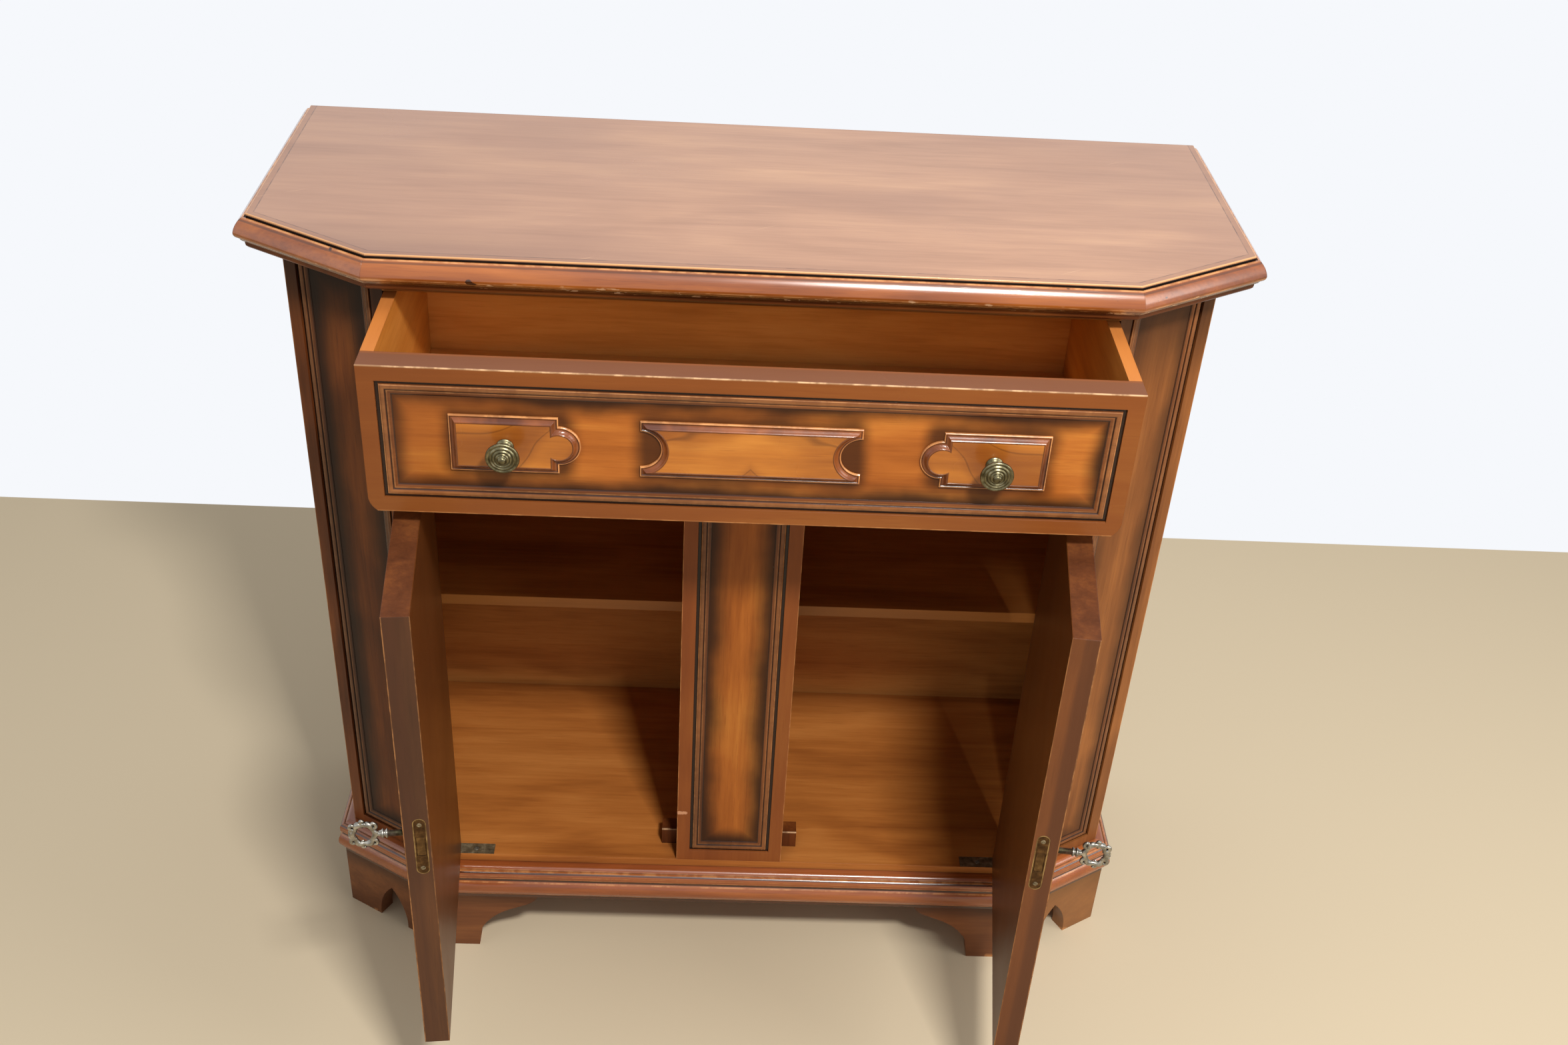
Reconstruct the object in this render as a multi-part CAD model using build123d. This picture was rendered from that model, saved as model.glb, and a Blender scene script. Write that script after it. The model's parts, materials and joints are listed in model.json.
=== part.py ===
from build123d import *
import math
import os

os.makedirs("parts", exist_ok=True)

# Console cabinet with one wide drawer over two hinged doors, all lengths in millimetres.
# The origin is the middle of the carcass plan, on the floor. +Z is up and the front faces -Y.
# It is drawn as photographed: doors standing open and the drawer pulled out.

# Carcass plan
body_width = 894
body_depth = 318
front_width = 684
cant_angle = 31
post_thickness = 24
post_return = 26
side_thickness = 20
back_thickness = 8
back_inset = 3

# Heights
height = 915
foot_height = 84
base_moulding_height = 46
floor_top = 140
floor_thickness = 18
dust_thickness = 16
drawer_height = 149.5
rail_height = 26.5
rail_thickness = 20
plinth_rail_thickness = 20
shelf_top = 420
shelf_thickness = 13.5
shelf_depth = 177.6
shelf_batten = 14

# Top and its mouldings
top_thickness = 22
top_overhang = 25
top_back_overhang = 6
top_edge_round = 0.8
top_mould_projection = 12
top_mould_drop = 5.4
quirk_width = 1.8
quirk_depth = 5
bed_mould_height = 25
bed_mould_projection = 3.5

# Base moulding and feet
base_mould_projection = 20
foot_face = 13.5
foot_thickness = 20
foot_toe = 51
foot_reach = 123
foot_lip = 4.5
foot_lip_height = 30
foot_throat = 43
foot_throat_height = 64
foot_ledge = 59
foot_ledge_height = 71
cant_arch_start = 45
cant_arch_width = 42
cant_arch_height = 57
rear_foot_width = 70
rear_foot_toe = 34
corner_block = 32
corner_block_lift = 2

# Raised frames let into a shallow pocket
frame_border = 15
frame_width = 14
frame_quirk = 3.5
frame_height = 2.8
pocket_depth = 3
door_frame_border = 32
cant_frame_margin = 13

# Column between the doors
column_width = 122
column_thickness = 25
partition_thickness = 20

# Doors
door_gap = 1.5
door_thickness = 25
pivot_inset = 6.5
pivot_depth = 3
left_door_angle = 84.15
right_door_angle = 83.3
stop_width = 18
stop_depth = 18
stop_height = 23
stop_clearance = 0.5

# Knife hinges
hinge_length = 65
hinge_width = 16
hinge_thickness = 3
hinge_tail = 4.5
hinge_pin_diameter = 4
hinge_pin_clearance = 0.05
hinge_pin_end_gap = 0.5
hinge_edge_margin = 0.5

# Locks, bolts and keys
lock_height = 424
lock_depth = 15.5
backset = 20
forend_length = 72
forend_width = 12.6
forend_thickness = 2.5
case_height = 56
case_depth = 27
case_thickness = 11.4
bolt_height = 23
bolt_thickness = 8
bolt_length = 14
bolt_clearance = 0.3
bolt_throw = 7
strike_height = 44
strike_width = 12
strike_thickness = 1.2
mortise_clearance = 0.8
key_shank_diameter = 6
key_hole_clearance = 0.5
key_projection = 54
key_tip_gap = 1
key_collar_diameter = 9
key_collar_length = 3
bow_length = 30
bow_height = 38
bow_band = 6
bow_thickness = 4
escutcheon_width = 14
escutcheon_height = 22
escutcheon_thickness = 1.6

# Drawer
drawer_gap = 1.5
drawer_end_gap = 1
drawer_front_thickness = 25
drawer_side_thickness = 12
drawer_back_thickness = 12
drawer_bottom_thickness = 6
drawer_bottom_lift = 9.5
drawer_groove = 5
drawer_run_gap = 0.5
drawer_back_drop = 10
drawer_open = 136
drawer_back_y = 130
corner_clip_width = 8
corner_clip_height = 15
guide_width = 18
guide_height = 22
guide_gap = 0.6
kicker_width = 30
drawer_stop_size = 16

# Appliques and knobs on the drawer front
applique_height = 57
applique_base = 2.2
applique_thickness = 5.5
applique_band = 7
centre_applique_length = 196
centre_bite_radius = 18.5
end_applique_start = 150
end_applique_end = 265
end_lobe_radius = 19.5
knob_x = 216
knob_diameter = 30
knob_projection = 26
knob_neck = 12
knob_button = 5
knob_button_rise = 3
spindle_diameter = 5
nut_diameter = 11
nut_thickness = 5

# Places worked out from the sizes above
front_y = -body_depth / 2
back_y = body_depth / 2
side_x = body_width / 2
corner_x = front_width / 2
cant_run = side_x - corner_x
cant_y = front_y + cant_run * math.tan(math.radians(cant_angle))
front_mitre = math.tan(math.radians(cant_angle) / 2)
side_mitre = math.tan(math.radians(90 - cant_angle) / 2)
cant_length = cant_run / math.cos(math.radians(cant_angle))
inner_x = side_x - side_thickness
inner_back_y = back_y - back_inset - back_thickness
floor_bottom = floor_top - floor_thickness
top_bottom = height - top_thickness
rail_bottom = top_bottom - rail_height
drawer_top = rail_bottom - drawer_gap
drawer_bottom_z = drawer_top - drawer_height
dust_top = drawer_bottom_z - drawer_gap
dust_bottom = dust_top - dust_thickness
moulding_top = foot_height + base_moulding_height
column_x = column_width / 2
door_bottom = floor_top + door_gap
door_top = dust_bottom - door_gap
door_free_x = column_x + door_gap
door_hinge_x = corner_x - door_gap
pivot_x = door_hinge_x - pivot_inset
pivot_y = front_y + pivot_depth
lock_y = front_y + lock_depth
key_x = door_free_x + backset
post_inner_y = front_y + post_thickness / math.cos(math.radians(cant_angle))
post_back_y = cant_y + post_return


def corner(offset):
    """Plan corner between front and cant, on the outline pushed out by offset."""
    return (corner_x + offset * front_mitre, front_y - offset)


def shoulder(offset):
    """Plan corner between cant and side, on the outline pushed out by offset."""
    return (side_x + offset, cant_y - offset * side_mitre)


def block(x0, x1, y0, y1, z0, z1):
    """Box between two corners."""
    size = Box(x1 - x0, y1 - y0, z1 - z0, align=(Align.MIN, Align.MIN, Align.MIN))
    return Pos(x0, y0, z0) * size


def prism(points, z0, z1):
    """Upright prism on a plan polygon."""
    face = make_face(Polyline(*points, close=True))
    return extrude(Pos(0, 0, z0) * face, amount=z1 - z0, dir=(0, 0, 1))


def flip(shape):
    """The same shape on the other side of the middle plane."""
    return mirror(shape, about=Plane.YZ)


def both(shape):
    """A right-hand shape together with its left-hand twin."""
    return Compound([shape, flip(shape)])


def outline(start, *steps):
    """Closed face from straight steps (x, y) and arc steps (through point, end point)."""
    edges = []
    here = start
    for step in steps:
        if isinstance(step[0], tuple):
            edges.append(ThreePointArc(here, step[0], step[1]))
            here = step[1]
        else:
            edges.append(Line(here, step))
            here = step
    if here != start:
        edges.append(Line(here, start))
    return make_face(edges)


def run_plane(start, end):
    """Plane across a run of moulding: its x points outward, its y points up."""
    middle = ((start[0] + end[0]) / 2, (start[1] + end[1]) / 2, 0)
    along = Vector(end[0] - start[0], end[1] - start[1], 0).normalized()
    outward = along.cross(Vector(0, 0, 1))
    return Plane(origin=middle, x_dir=outward, z_dir=outward.cross(Vector(0, 0, 1)))


def face_plane(start, end):
    """Plane of an upright face: its x runs from start to end, its y points up."""
    along = Vector(end[0] - start[0], end[1] - start[1], 0).normalized()
    return Plane(origin=(start[0], start[1], 0), x_dir=along, z_dir=along.cross(Vector(0, 0, 1)))


def front_run(profile, inner, outer):
    """Front length of a moulding, mitred at both corners. Its profile starts at the carcass face."""
    plane = run_plane((-corner_x, front_y), (corner_x, front_y))
    bar = extrude(plane * profile, amount=body_width, both=True)
    (x0, y0), (x1, y1) = corner(inner), corner(outer)
    return bar & prism([(-x0, y0), (x0, y0), (x1, y1), (-x1, y1)], 0, height)


def cant_run_pair(profile, inner, outer):
    """The two canted lengths of a moulding, mitred at both ends."""
    plane = run_plane((corner_x, front_y), (side_x, cant_y))
    bar = extrude(plane * profile, amount=body_width / 2, both=True)
    points = [corner(inner), shoulder(inner), shoulder(outer), corner(outer)]
    return both(bar & prism(points, 0, height))


def side_run_pair(profile, inner, outer, end_y):
    """The two side lengths of a moulding, mitred at the shoulder and cut square at the back."""
    plane = run_plane((side_x, front_y), (side_x, back_y))
    bar = extrude(plane * profile, amount=body_depth, both=True)
    points = [shoulder(inner), (side_x + inner, end_y), (side_x + outer, end_y), shoulder(outer)]
    return both(bar & prism(points, 0, height))


def frame_ring(plane, x0, x1, z0, z1):
    """Mitred moulding let into the edge of a pocket that is sunk behind a face plane."""
    sides = []
    corners = [(x0, z0), (x1, z0), (x1, z1), (x0, z1)]
    w = frame_width
    inner = [(x0 + w, z0 + w), (x1 - w, z0 + w), (x1 - w, z1 - w), (x0 + w, z1 - w)]
    profile = outline(
        (0, -pocket_depth),
        (0, -pocket_depth + 0.6),
        (frame_quirk - 0.5, -pocket_depth + 0.6),
        (frame_quirk, -0.8),
        ((frame_quirk + 2.4, frame_height - pocket_depth), (frame_quirk + 5, -0.9)),
        (frame_quirk + 5.4, -1.6),
        ((frame_width - 2.8, -1.7), (frame_width, -pocket_depth + 0.3)),
        (frame_width, -pocket_depth),
    )
    for i in range(4):
        a, b = corners[i], corners[(i + 1) % 4]
        c, d = inner[(i + 1) % 4], inner[i]
        along = Vector(b[0] - a[0], b[1] - a[1], 0).normalized()
        inward = Vector(0, 0, 1).cross(along)
        middle = ((a[0] + b[0]) / 2, (a[1] + b[1]) / 2, 0)
        section = Plane(origin=middle, x_dir=inward, z_dir=inward.cross(Vector(0, 0, 1)))
        length = abs(b[0] - a[0]) + abs(b[1] - a[1])
        bar = extrude(section * profile, amount=length, both=True)
        keep = extrude(Pos(0, 0, -pocket_depth) * make_face(Polyline(a, b, c, d, close=True)),
                       amount=2 * pocket_depth, dir=(0, 0, 1))
        sides.append(bar & keep)
    ring = sides[0] + sides[1] + sides[2] + sides[3]
    return plane * ring


def pocket(plane, x0, x1, z0, z1):
    """Shallow pocket cut into a face for the frame and its sunk field."""
    cut = block(x0, x1, z0, z1, -pocket_depth, pocket_depth)
    return plane * cut


# Solid pieces are collected here under their node names
nodes = {}

# Top panel with canted front corners
flat_back = back_y + top_back_overhang
right_edge = [corner(top_overhang), shoulder(top_overhang), (side_x + top_overhang, flat_back)]
left_edge = [(-x, y) for x, y in reversed(right_edge)]
top_panel = prism(right_edge + left_edge, top_bottom, height)
top_rim = top_panel.faces().sort_by(Axis.Z)[-1].edges()
nodes["top_panel"] = fillet(top_rim, top_edge_round)

# Top edge moulding: quirk, fillet, roll and a step under it
t = top_overhang
p = top_mould_projection
quirk_z = height - quirk_depth
fillet_z = height - 3.4
drop_z = top_bottom - top_mould_drop
top_edge = outline(
    (t, drop_z),
    (t, quirk_z),
    (t + quirk_width, quirk_z),
    (t + quirk_width, fillet_z),
    (t + quirk_width + 1.7, fillet_z),
    ((t + 0.8 * p, height - 10.5), (t + p, height - 17)),
    ((t + p - 0.9, height - 20.8), (t + 0.63 * p, top_bottom - 1.3)),
    (t + 0.52 * p, top_bottom - 3.7),
    (t + 0.36 * p, drop_z),
)
top_outer = t + p
nodes["top_edge_front"] = front_run(top_edge, t, top_outer)
nodes["top_edge_cants"] = cant_run_pair(top_edge, t, top_outer)
nodes["top_edge_sides"] = side_run_pair(top_edge, t, top_outer, flat_back)

# Bed moulding: a cove from the carcass face out to the underside of the top
bed_bottom = top_bottom - bed_mould_height
bed_outer = t + bed_mould_projection
bed = outline(
    (0, top_bottom),
    (0, bed_bottom),
    (1, bed_bottom),
    ((0.3 * t, bed_bottom + 9.4), (t + 1, bed_bottom + 13.3)),
    (bed_outer - 0.6, bed_bottom + 15.4),
    (bed_outer, drop_z),
    (t, drop_z),
    (t, top_bottom),
)
nodes["bed_moulding_front"] = front_run(bed, 0, bed_outer)
nodes["bed_moulding_cants"] = cant_run_pair(bed, 0, bed_outer)
nodes["bed_moulding_sides"] = side_run_pair(bed, 0, bed_outer, back_y)

# Canted corner posts, each with a tall framed pocket
slope = math.tan(math.radians(cant_angle))
post_knee_y = post_inner_y + (inner_x - corner_x) * slope
post_plan = [
    (corner_x, front_y),
    (side_x, cant_y),
    (side_x, post_back_y),
    (inner_x, post_back_y),
    (inner_x, post_knee_y),
    (corner_x, post_inner_y),
]
cant_face = face_plane((corner_x, front_y), (side_x, cant_y))
cant_rect = (frame_border, cant_length - frame_border,
             moulding_top + cant_frame_margin, top_bottom - cant_frame_margin)
post = prism(post_plan, foot_height, top_bottom) - pocket(cant_face, *cant_rect)
nodes["cant_post_right"] = post
nodes["cant_post_left"] = flip(post)
nodes["cant_frames"] = both(frame_ring(cant_face, *cant_rect))

# Side boards and back board
side = block(inner_x, side_x, post_back_y, back_y, foot_height, top_bottom)
nodes["side_right"] = side
nodes["side_left"] = flip(side)
back_start = inner_back_y
nodes["back_panel"] = block(-inner_x, inner_x, back_start, back_start + back_thickness,
                            floor_bottom, top_bottom)

# Rail over the drawer and the two plinth rails
nodes["top_rail"] = block(-corner_x, corner_x, front_y, front_y + rail_thickness,
                          rail_bottom, top_bottom)
nodes["base_front_rail"] = block(-corner_x, corner_x, front_y, front_y + plinth_rail_thickness,
                                 foot_height, floor_bottom)
nodes["base_rear_rail"] = block(-inner_x, inner_x, back_y - plinth_rail_thickness, back_y,
                                foot_height, floor_bottom)

# Floor board and dust board share one outline that wraps the posts
board_right = [
    (corner_x, front_y),
    (corner_x, post_inner_y),
    (inner_x, post_knee_y),
    (inner_x, inner_back_y),
]
board_plan = board_right + [(-x, y) for x, y in reversed(board_right)]
floor_board = prism(board_plan, floor_bottom, floor_top)
dust_board = prism(board_plan, dust_bottom, dust_top)

# Knife hinge leaves: fixed ones in the boards, moving ones with a pin in the door edges
leaf_x0 = pivot_x - hinge_length + hinge_tail
leaf_x1 = pivot_x + hinge_tail
leaf_y0 = front_y + hinge_edge_margin
leaf_y1 = leaf_y0 + hinge_width
pin_radius = hinge_pin_diameter / 2
pin_hole = Pos(pivot_x, pivot_y, 0) * Cylinder(pin_radius + hinge_pin_clearance, 3 * height)
low_leaf = block(leaf_x0, leaf_x1, leaf_y0, leaf_y1, floor_top - hinge_thickness, floor_top)
high_leaf = block(leaf_x0, leaf_x1, leaf_y0, leaf_y1, dust_bottom, dust_bottom + hinge_thickness)
floor_board = floor_board - low_leaf - flip(low_leaf)
dust_board = dust_board - high_leaf - flip(high_leaf)
nodes["floor_board"] = floor_board
nodes["dust_board"] = dust_board
nodes["hinge_leaves_carcass"] = Compound([
    low_leaf - pin_hole,
    high_leaf - pin_hole,
    flip(low_leaf - pin_hole),
    flip(high_leaf - pin_hole),
])
pin_reach = door_gap + hinge_thickness - hinge_pin_end_gap


def hinge_leaf(z_leaf, z_pin):
    """Moving leaf let into a door edge, with its pin."""
    plate = block(leaf_x0, leaf_x1, leaf_y0, leaf_y1, z_leaf, z_leaf + hinge_thickness)
    pin = Cylinder(pin_radius, pin_reach, align=(Align.CENTER, Align.CENTER, Align.MIN))
    return plate + Pos(pivot_x, pivot_y, z_pin) * pin


door_low_leaf = hinge_leaf(door_bottom, door_bottom - pin_reach)
door_high_leaf = hinge_leaf(door_top - hinge_thickness, door_top)

# Column between the doors, with its frame, the partition behind it and the lock strikes
column_face = face_plane((-column_x, front_y), (column_x, front_y))
column_rect = (frame_border, column_width - frame_border,
               floor_top + frame_border, dust_bottom - frame_border)
column = block(-column_x, column_x, front_y, front_y + column_thickness, floor_top, dust_bottom)
column = column - pocket(column_face, *column_rect)
strike = block(column_x - strike_thickness, column_x, lock_y - strike_width / 2,
               lock_y + strike_width / 2, lock_height - strike_height / 2,
               lock_height + strike_height / 2)
mortise_half_y = bolt_thickness / 2 + mortise_clearance
mortise_half_z = bolt_height / 2 + mortise_clearance
mortise = block(column_x - bolt_throw - mortise_clearance, column_x, lock_y - mortise_half_y,
                lock_y + mortise_half_y, lock_height - mortise_half_z,
                lock_height + mortise_half_z)
for cut in (strike, mortise):
    column = column - cut - flip(cut)
nodes["centre_column"] = column
nodes["column_frame"] = frame_ring(column_face, *column_rect)
nodes["strikes"] = both(strike - mortise)
partition_x = partition_thickness / 2
nodes["centre_partition"] = block(-partition_x, partition_x, front_y + column_thickness,
                                  inner_back_y, floor_top, dust_bottom)

# Shelves on battens, and the door stops beside the column
shelf_y = inner_back_y - shelf_depth
shelf_bottom = shelf_top - shelf_thickness
nodes["shelves"] = both(block(partition_x, inner_x, shelf_y, inner_back_y, shelf_bottom, shelf_top))
batten_y = shelf_y + shelf_batten
outer_batten = block(inner_x - shelf_batten, inner_x, batten_y, inner_back_y,
                     shelf_bottom - shelf_batten, shelf_bottom)
inner_batten = block(partition_x, partition_x + shelf_batten, batten_y, inner_back_y,
                     shelf_bottom - shelf_batten, shelf_bottom)
nodes["shelf_battens"] = Compound([outer_batten, inner_batten, flip(outer_batten),
                                   flip(inner_batten)])
stop_y = front_y + door_thickness + stop_clearance
nodes["door_stops"] = both(block(column_x, column_x + stop_width, stop_y, stop_y + stop_depth,
                                 floor_top, floor_top + stop_height))

# Base moulding: two beads, an undercut and a torus over the feet
m = moulding_top
base_profile = outline(
    (0, foot_height),
    (0, m),
    (5, m),
    ((9, m - 1.2), (11.3, m - 4.2)),
    (12, m - 3.5),
    ((15.8, m - 5.2), (17, m - 9)),
    (17, m - 13),
    (15, m - 14.5),
    (15, m - 18),
    (16, m - 19),
    ((base_mould_projection, m - 28), (15.5, foot_height + 7)),
    (15.5, foot_height + 6),
    (foot_face, foot_height + 6),
    (foot_face, foot_height),
)
nodes["base_moulding_front"] = front_run(base_profile, 0, base_mould_projection)
nodes["base_moulding_cants"] = cant_run_pair(base_profile, 0, base_mould_projection)
nodes["base_moulding_sides"] = side_run_pair(base_profile, 0, base_mould_projection, back_y)

# Bracket feet: each is cut from a board that stands flush with the foot of the moulding
foot_back = foot_face - foot_thickness
bracket = outline(
    (-corner_block, 0),
    (foot_toe, 0),
    (foot_toe + foot_lip, foot_lip_height),
    ((foot_toe + 0.37 * foot_throat, 0.72 * foot_throat_height),
     (foot_toe + foot_throat, foot_throat_height)),
    (foot_toe + foot_ledge, foot_ledge_height),
    ((0.96 * foot_reach, foot_height - 7), (foot_reach, foot_height)),
    (-corner_block, foot_height),
)


def foot_board(start, end, profile):
    """Board with a given outline whose outer face runs from start to end."""
    return extrude(face_plane(start, end) * profile, amount=-foot_thickness)


x_out, y_out = corner(foot_face)
x_in, y_in = corner(foot_back)
front_foot = extrude(face_plane((x_out, y_out), (0, y_out)) * bracket, amount=foot_thickness)
front_foot = front_foot & prism([(0, y_out), (x_out, y_out), (x_in, y_in), (0, y_in)],
                                0, foot_height)
nodes["feet_front"] = both(front_foot)

cant_face_length = cant_length + foot_face * (front_mitre + side_mitre)
arch_end = cant_arch_start + cant_arch_width
arch_peak = cant_arch_start + 0.48 * cant_arch_width
cant_outline = outline(
    (-corner_block, 0),
    (cant_arch_start, 0),
    ((cant_arch_start + 0.12 * cant_arch_width, 0.58 * cant_arch_height),
     (arch_peak, cant_arch_height)),
    ((arch_end - 0.14 * cant_arch_width, 0.58 * cant_arch_height), (arch_end, 0)),
    (cant_face_length + corner_block, 0),
    (cant_face_length + corner_block, foot_height),
    (-corner_block, foot_height),
)
cant_foot = foot_board(corner(foot_face), shoulder(foot_face), cant_outline)
cant_foot = cant_foot & prism([corner(foot_face), shoulder(foot_face), shoulder(foot_back),
                               corner(foot_back)], 0, foot_height)
nodes["feet_cant"] = both(cant_foot)

x_out, y_out = shoulder(foot_face)
x_in, y_in = shoulder(foot_back)
side_fore = foot_board((x_out, y_out), (x_out, back_y), bracket)
side_fore = side_fore & prism([(x_out, y_out), (x_out, back_y), (x_in, back_y), (x_in, y_in)],
                              0, foot_height)
side_rear = extrude(face_plane((x_out, back_y), (x_out, y_out)) * bracket, amount=foot_thickness)
side_rear = side_rear & block(x_in, x_out, y_out, back_y, 0, foot_height)
nodes["feet_side"] = Compound([side_fore, side_rear, flip(side_fore), flip(side_rear)])

rear_x = x_in - rear_foot_width
rear_profile = outline((x_in, 0), (x_in, foot_height), (rear_x, foot_height),
                       (x_in - rear_foot_toe, 0))
rear_plane = Plane(origin=(0, back_y, 0), x_dir=(1, 0, 0), z_dir=(0, -1, 0))
rear_foot = extrude(rear_plane * rear_profile, amount=foot_thickness)
nodes["feet_rear"] = both(rear_foot)

# Glue blocks that stiffen the feet from behind, clear of the floor
block_front_y = front_y - foot_back
fore_x = corner(foot_back)[0]
fore_block = block(fore_x - corner_block, fore_x, block_front_y, block_front_y + corner_block,
                   corner_block_lift, foot_height)
rear_block = block(x_in - corner_block, x_in, back_y - foot_thickness - corner_block,
                   back_y - foot_thickness, corner_block_lift, foot_height)
nodes["foot_blocks"] = Compound([fore_block, rear_block, flip(fore_block), flip(rear_block)])

# Drawer runway inside the carcass: guides beside it, kickers over it, stops behind it
drawer_x = corner_x - drawer_end_gap
guide_x = drawer_x + guide_gap
guide = block(guide_x, guide_x + guide_width, post_knee_y, inner_back_y,
              dust_top, dust_top + guide_height)
nodes["drawer_guides"] = both(guide)
kicker = block(drawer_x - kicker_width, drawer_x, front_y + rail_thickness, inner_back_y,
               rail_bottom, top_bottom)
nodes["drawer_kickers"] = both(kicker)
stop_at = drawer_back_y + drawer_run_gap
nodes["drawer_stops"] = both(block(knob_x - drawer_stop_size, knob_x + drawer_stop_size, stop_at,
                                   inner_back_y, dust_top, dust_top + 2 * drawer_stop_size))

# Drawer, drawn shut
drawer_inner_x = drawer_x - drawer_side_thickness
drawer_inner_y = front_y + drawer_front_thickness
front_outline = outline(
    (-drawer_x + corner_clip_width, drawer_bottom_z),
    (drawer_x - corner_clip_width, drawer_bottom_z),
    ((drawer_x - 0.25 * corner_clip_width, drawer_bottom_z + 0.45 * corner_clip_height),
     (drawer_x, drawer_bottom_z + corner_clip_height)),
    (drawer_x, drawer_top),
    (-drawer_x, drawer_top),
    (-drawer_x, drawer_bottom_z + corner_clip_height),
    ((-drawer_x + 0.25 * corner_clip_width, drawer_bottom_z + 0.45 * corner_clip_height),
     (-drawer_x + corner_clip_width, drawer_bottom_z)),
)
front_plane = Plane(origin=(0, front_y, 0), x_dir=(1, 0, 0), z_dir=(0, -1, 0))
drawer_front = extrude(front_plane * front_outline, amount=-drawer_front_thickness)
drawer_rect = (-drawer_x + frame_border, drawer_x - frame_border,
               drawer_bottom_z + frame_border, drawer_top - frame_border)
drawer_front = drawer_front - pocket(front_plane, *drawer_rect)
drawer_frame = frame_ring(front_plane, *drawer_rect)

side_bottom = dust_top + drawer_run_gap
drawer_side = block(drawer_inner_x, drawer_x, drawer_inner_y, drawer_back_y,
                    side_bottom, drawer_top)
panel_z = side_bottom + drawer_bottom_lift
panel_top = panel_z + drawer_bottom_thickness
drawer_back = block(-drawer_inner_x, drawer_inner_x, drawer_back_y - drawer_back_thickness,
                    drawer_back_y, panel_top, drawer_top - drawer_back_drop)
drawer_bottom = block(-drawer_inner_x - drawer_groove, drawer_inner_x + drawer_groove,
                      drawer_inner_y - drawer_groove, drawer_back_y, panel_z, panel_top)
drawer_side = drawer_side - drawer_bottom
drawer_front = drawer_front - drawer_bottom

# Appliques stand on the sunk field: a base layer and a smaller raised layer
field_y = front_y + pocket_depth
mid_z = (drawer_bottom_z + drawer_top) / 2
half_a = applique_height / 2
field_plane = Plane(origin=(0, field_y, mid_z), x_dir=(1, 0, 0), z_dir=(0, -1, 0))


def centre_outline(inset):
    """Rectangle with a round bite in each end."""
    x = centre_applique_length / 2 - inset
    z = half_a - inset
    bite = centre_bite_radius + inset
    face = make_face(Polyline((-x, -z), (x, -z), (x, z), (-x, z), close=True))
    end = centre_applique_length / 2
    return face - Pos(end, 0) * Circle(bite) - Pos(-end, 0) * Circle(bite)


def end_outline(inset):
    """Rectangle whose inner end carries a round lobe, for the right-hand side."""
    lobe_x = end_applique_start + end_lobe_radius
    x0 = lobe_x + inset
    x1 = end_applique_end - inset
    z = half_a - inset
    face = make_face(Polyline((x0, -z), (x1, -z), (x1, z), (x0, z), close=True))
    return face + Pos(lobe_x, 0) * Circle(end_lobe_radius - inset)


def applique(shape_at):
    """Two stacked layers cut to the same outline."""
    base = extrude(field_plane * shape_at(0), amount=applique_base)
    raised = extrude(field_plane * shape_at(applique_band), amount=applique_thickness)
    return base + raised


centre_applique = applique(centre_outline)
end_applique = applique(end_outline)

# Knobs: turned brass on a spindle that passes through to a nut inside the drawer
knob_r = knob_diameter / 2
neck_r = knob_neck / 2
k = knob_projection
button_sphere = (knob_button ** 2 + knob_button_rise ** 2) / (2 * knob_button_rise)
button_half = math.asin(knob_button / button_sphere) / 2
button_mid = (button_sphere * math.sin(button_half),
              k - button_sphere * (1 - math.cos(button_half)))
knob_profile = outline(
    (0, 0),
    (neck_r + 2, 0),
    (neck_r + 2, 1.5),
    ((neck_r - 0.6, 0.3 * k), (neck_r + 2, 0.55 * k)),
    (knob_r - 1, 0.62 * k),
    ((knob_r, 0.68 * k), (knob_r - 1, 0.76 * k)),
    (knob_r - 4, 0.79 * k),
    (knob_r - 4.5, k - knob_button_rise),
    (knob_button, k - knob_button_rise),
    (button_mid, (0, k)),
)
knob = revolve(knob_profile, axis=Axis.Y)
knob_y = field_y - applique_thickness
spindle_r = spindle_diameter / 2
spindle_length = drawer_inner_y - knob_y


def place_knob(side):
    """Knob, spindle and nut at one of the two places."""
    turn = Plane(origin=(side * knob_x, knob_y, mid_z), x_dir=(1, 0, 0), z_dir=(0, 0, -1))
    head = turn * knob
    spin = Plane(origin=(side * knob_x, knob_y, mid_z), x_dir=(1, 0, 0), z_dir=(0, 1, 0))
    rod = spin * Cylinder(spindle_r, spindle_length, align=(Align.CENTER, Align.CENTER, Align.MIN))
    nut_place = Plane(origin=(side * knob_x, drawer_inner_y, mid_z), x_dir=(1, 0, 0),
                      z_dir=(0, 1, 0))
    nut = nut_place * extrude(RegularPolygon(nut_diameter / 2, 6), amount=nut_thickness)
    return head + rod + nut


def spindle_hole(side):
    """Bore for a spindle through front and applique."""
    spin = Plane(origin=(side * knob_x, knob_y, mid_z), x_dir=(1, 0, 0), z_dir=(0, 1, 0))
    return spin * Cylinder(spindle_r, spindle_length,
                           align=(Align.CENTER, Align.CENTER, Align.MIN))


for side_sign in (-1, 1):
    drawer_front = drawer_front - spindle_hole(side_sign)
end_applique = end_applique - spindle_hole(1)
knobs = Compound([place_knob(-1), place_knob(1)])

# The drawer is moved out to its resting place
out = Pos(0, -drawer_open, 0)
nodes["drawer_front"] = out * drawer_front
nodes["drawer_front_frame"] = out * drawer_frame
nodes["drawer_side_right"] = out * drawer_side
nodes["drawer_side_left"] = out * flip(drawer_side)
nodes["drawer_back"] = out * drawer_back
nodes["drawer_bottom"] = out * drawer_bottom
nodes["drawer_applique_centre"] = out * centre_applique
nodes["drawer_appliques_end"] = out * both(end_applique)
nodes["drawer_knobs"] = out * knobs

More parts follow.
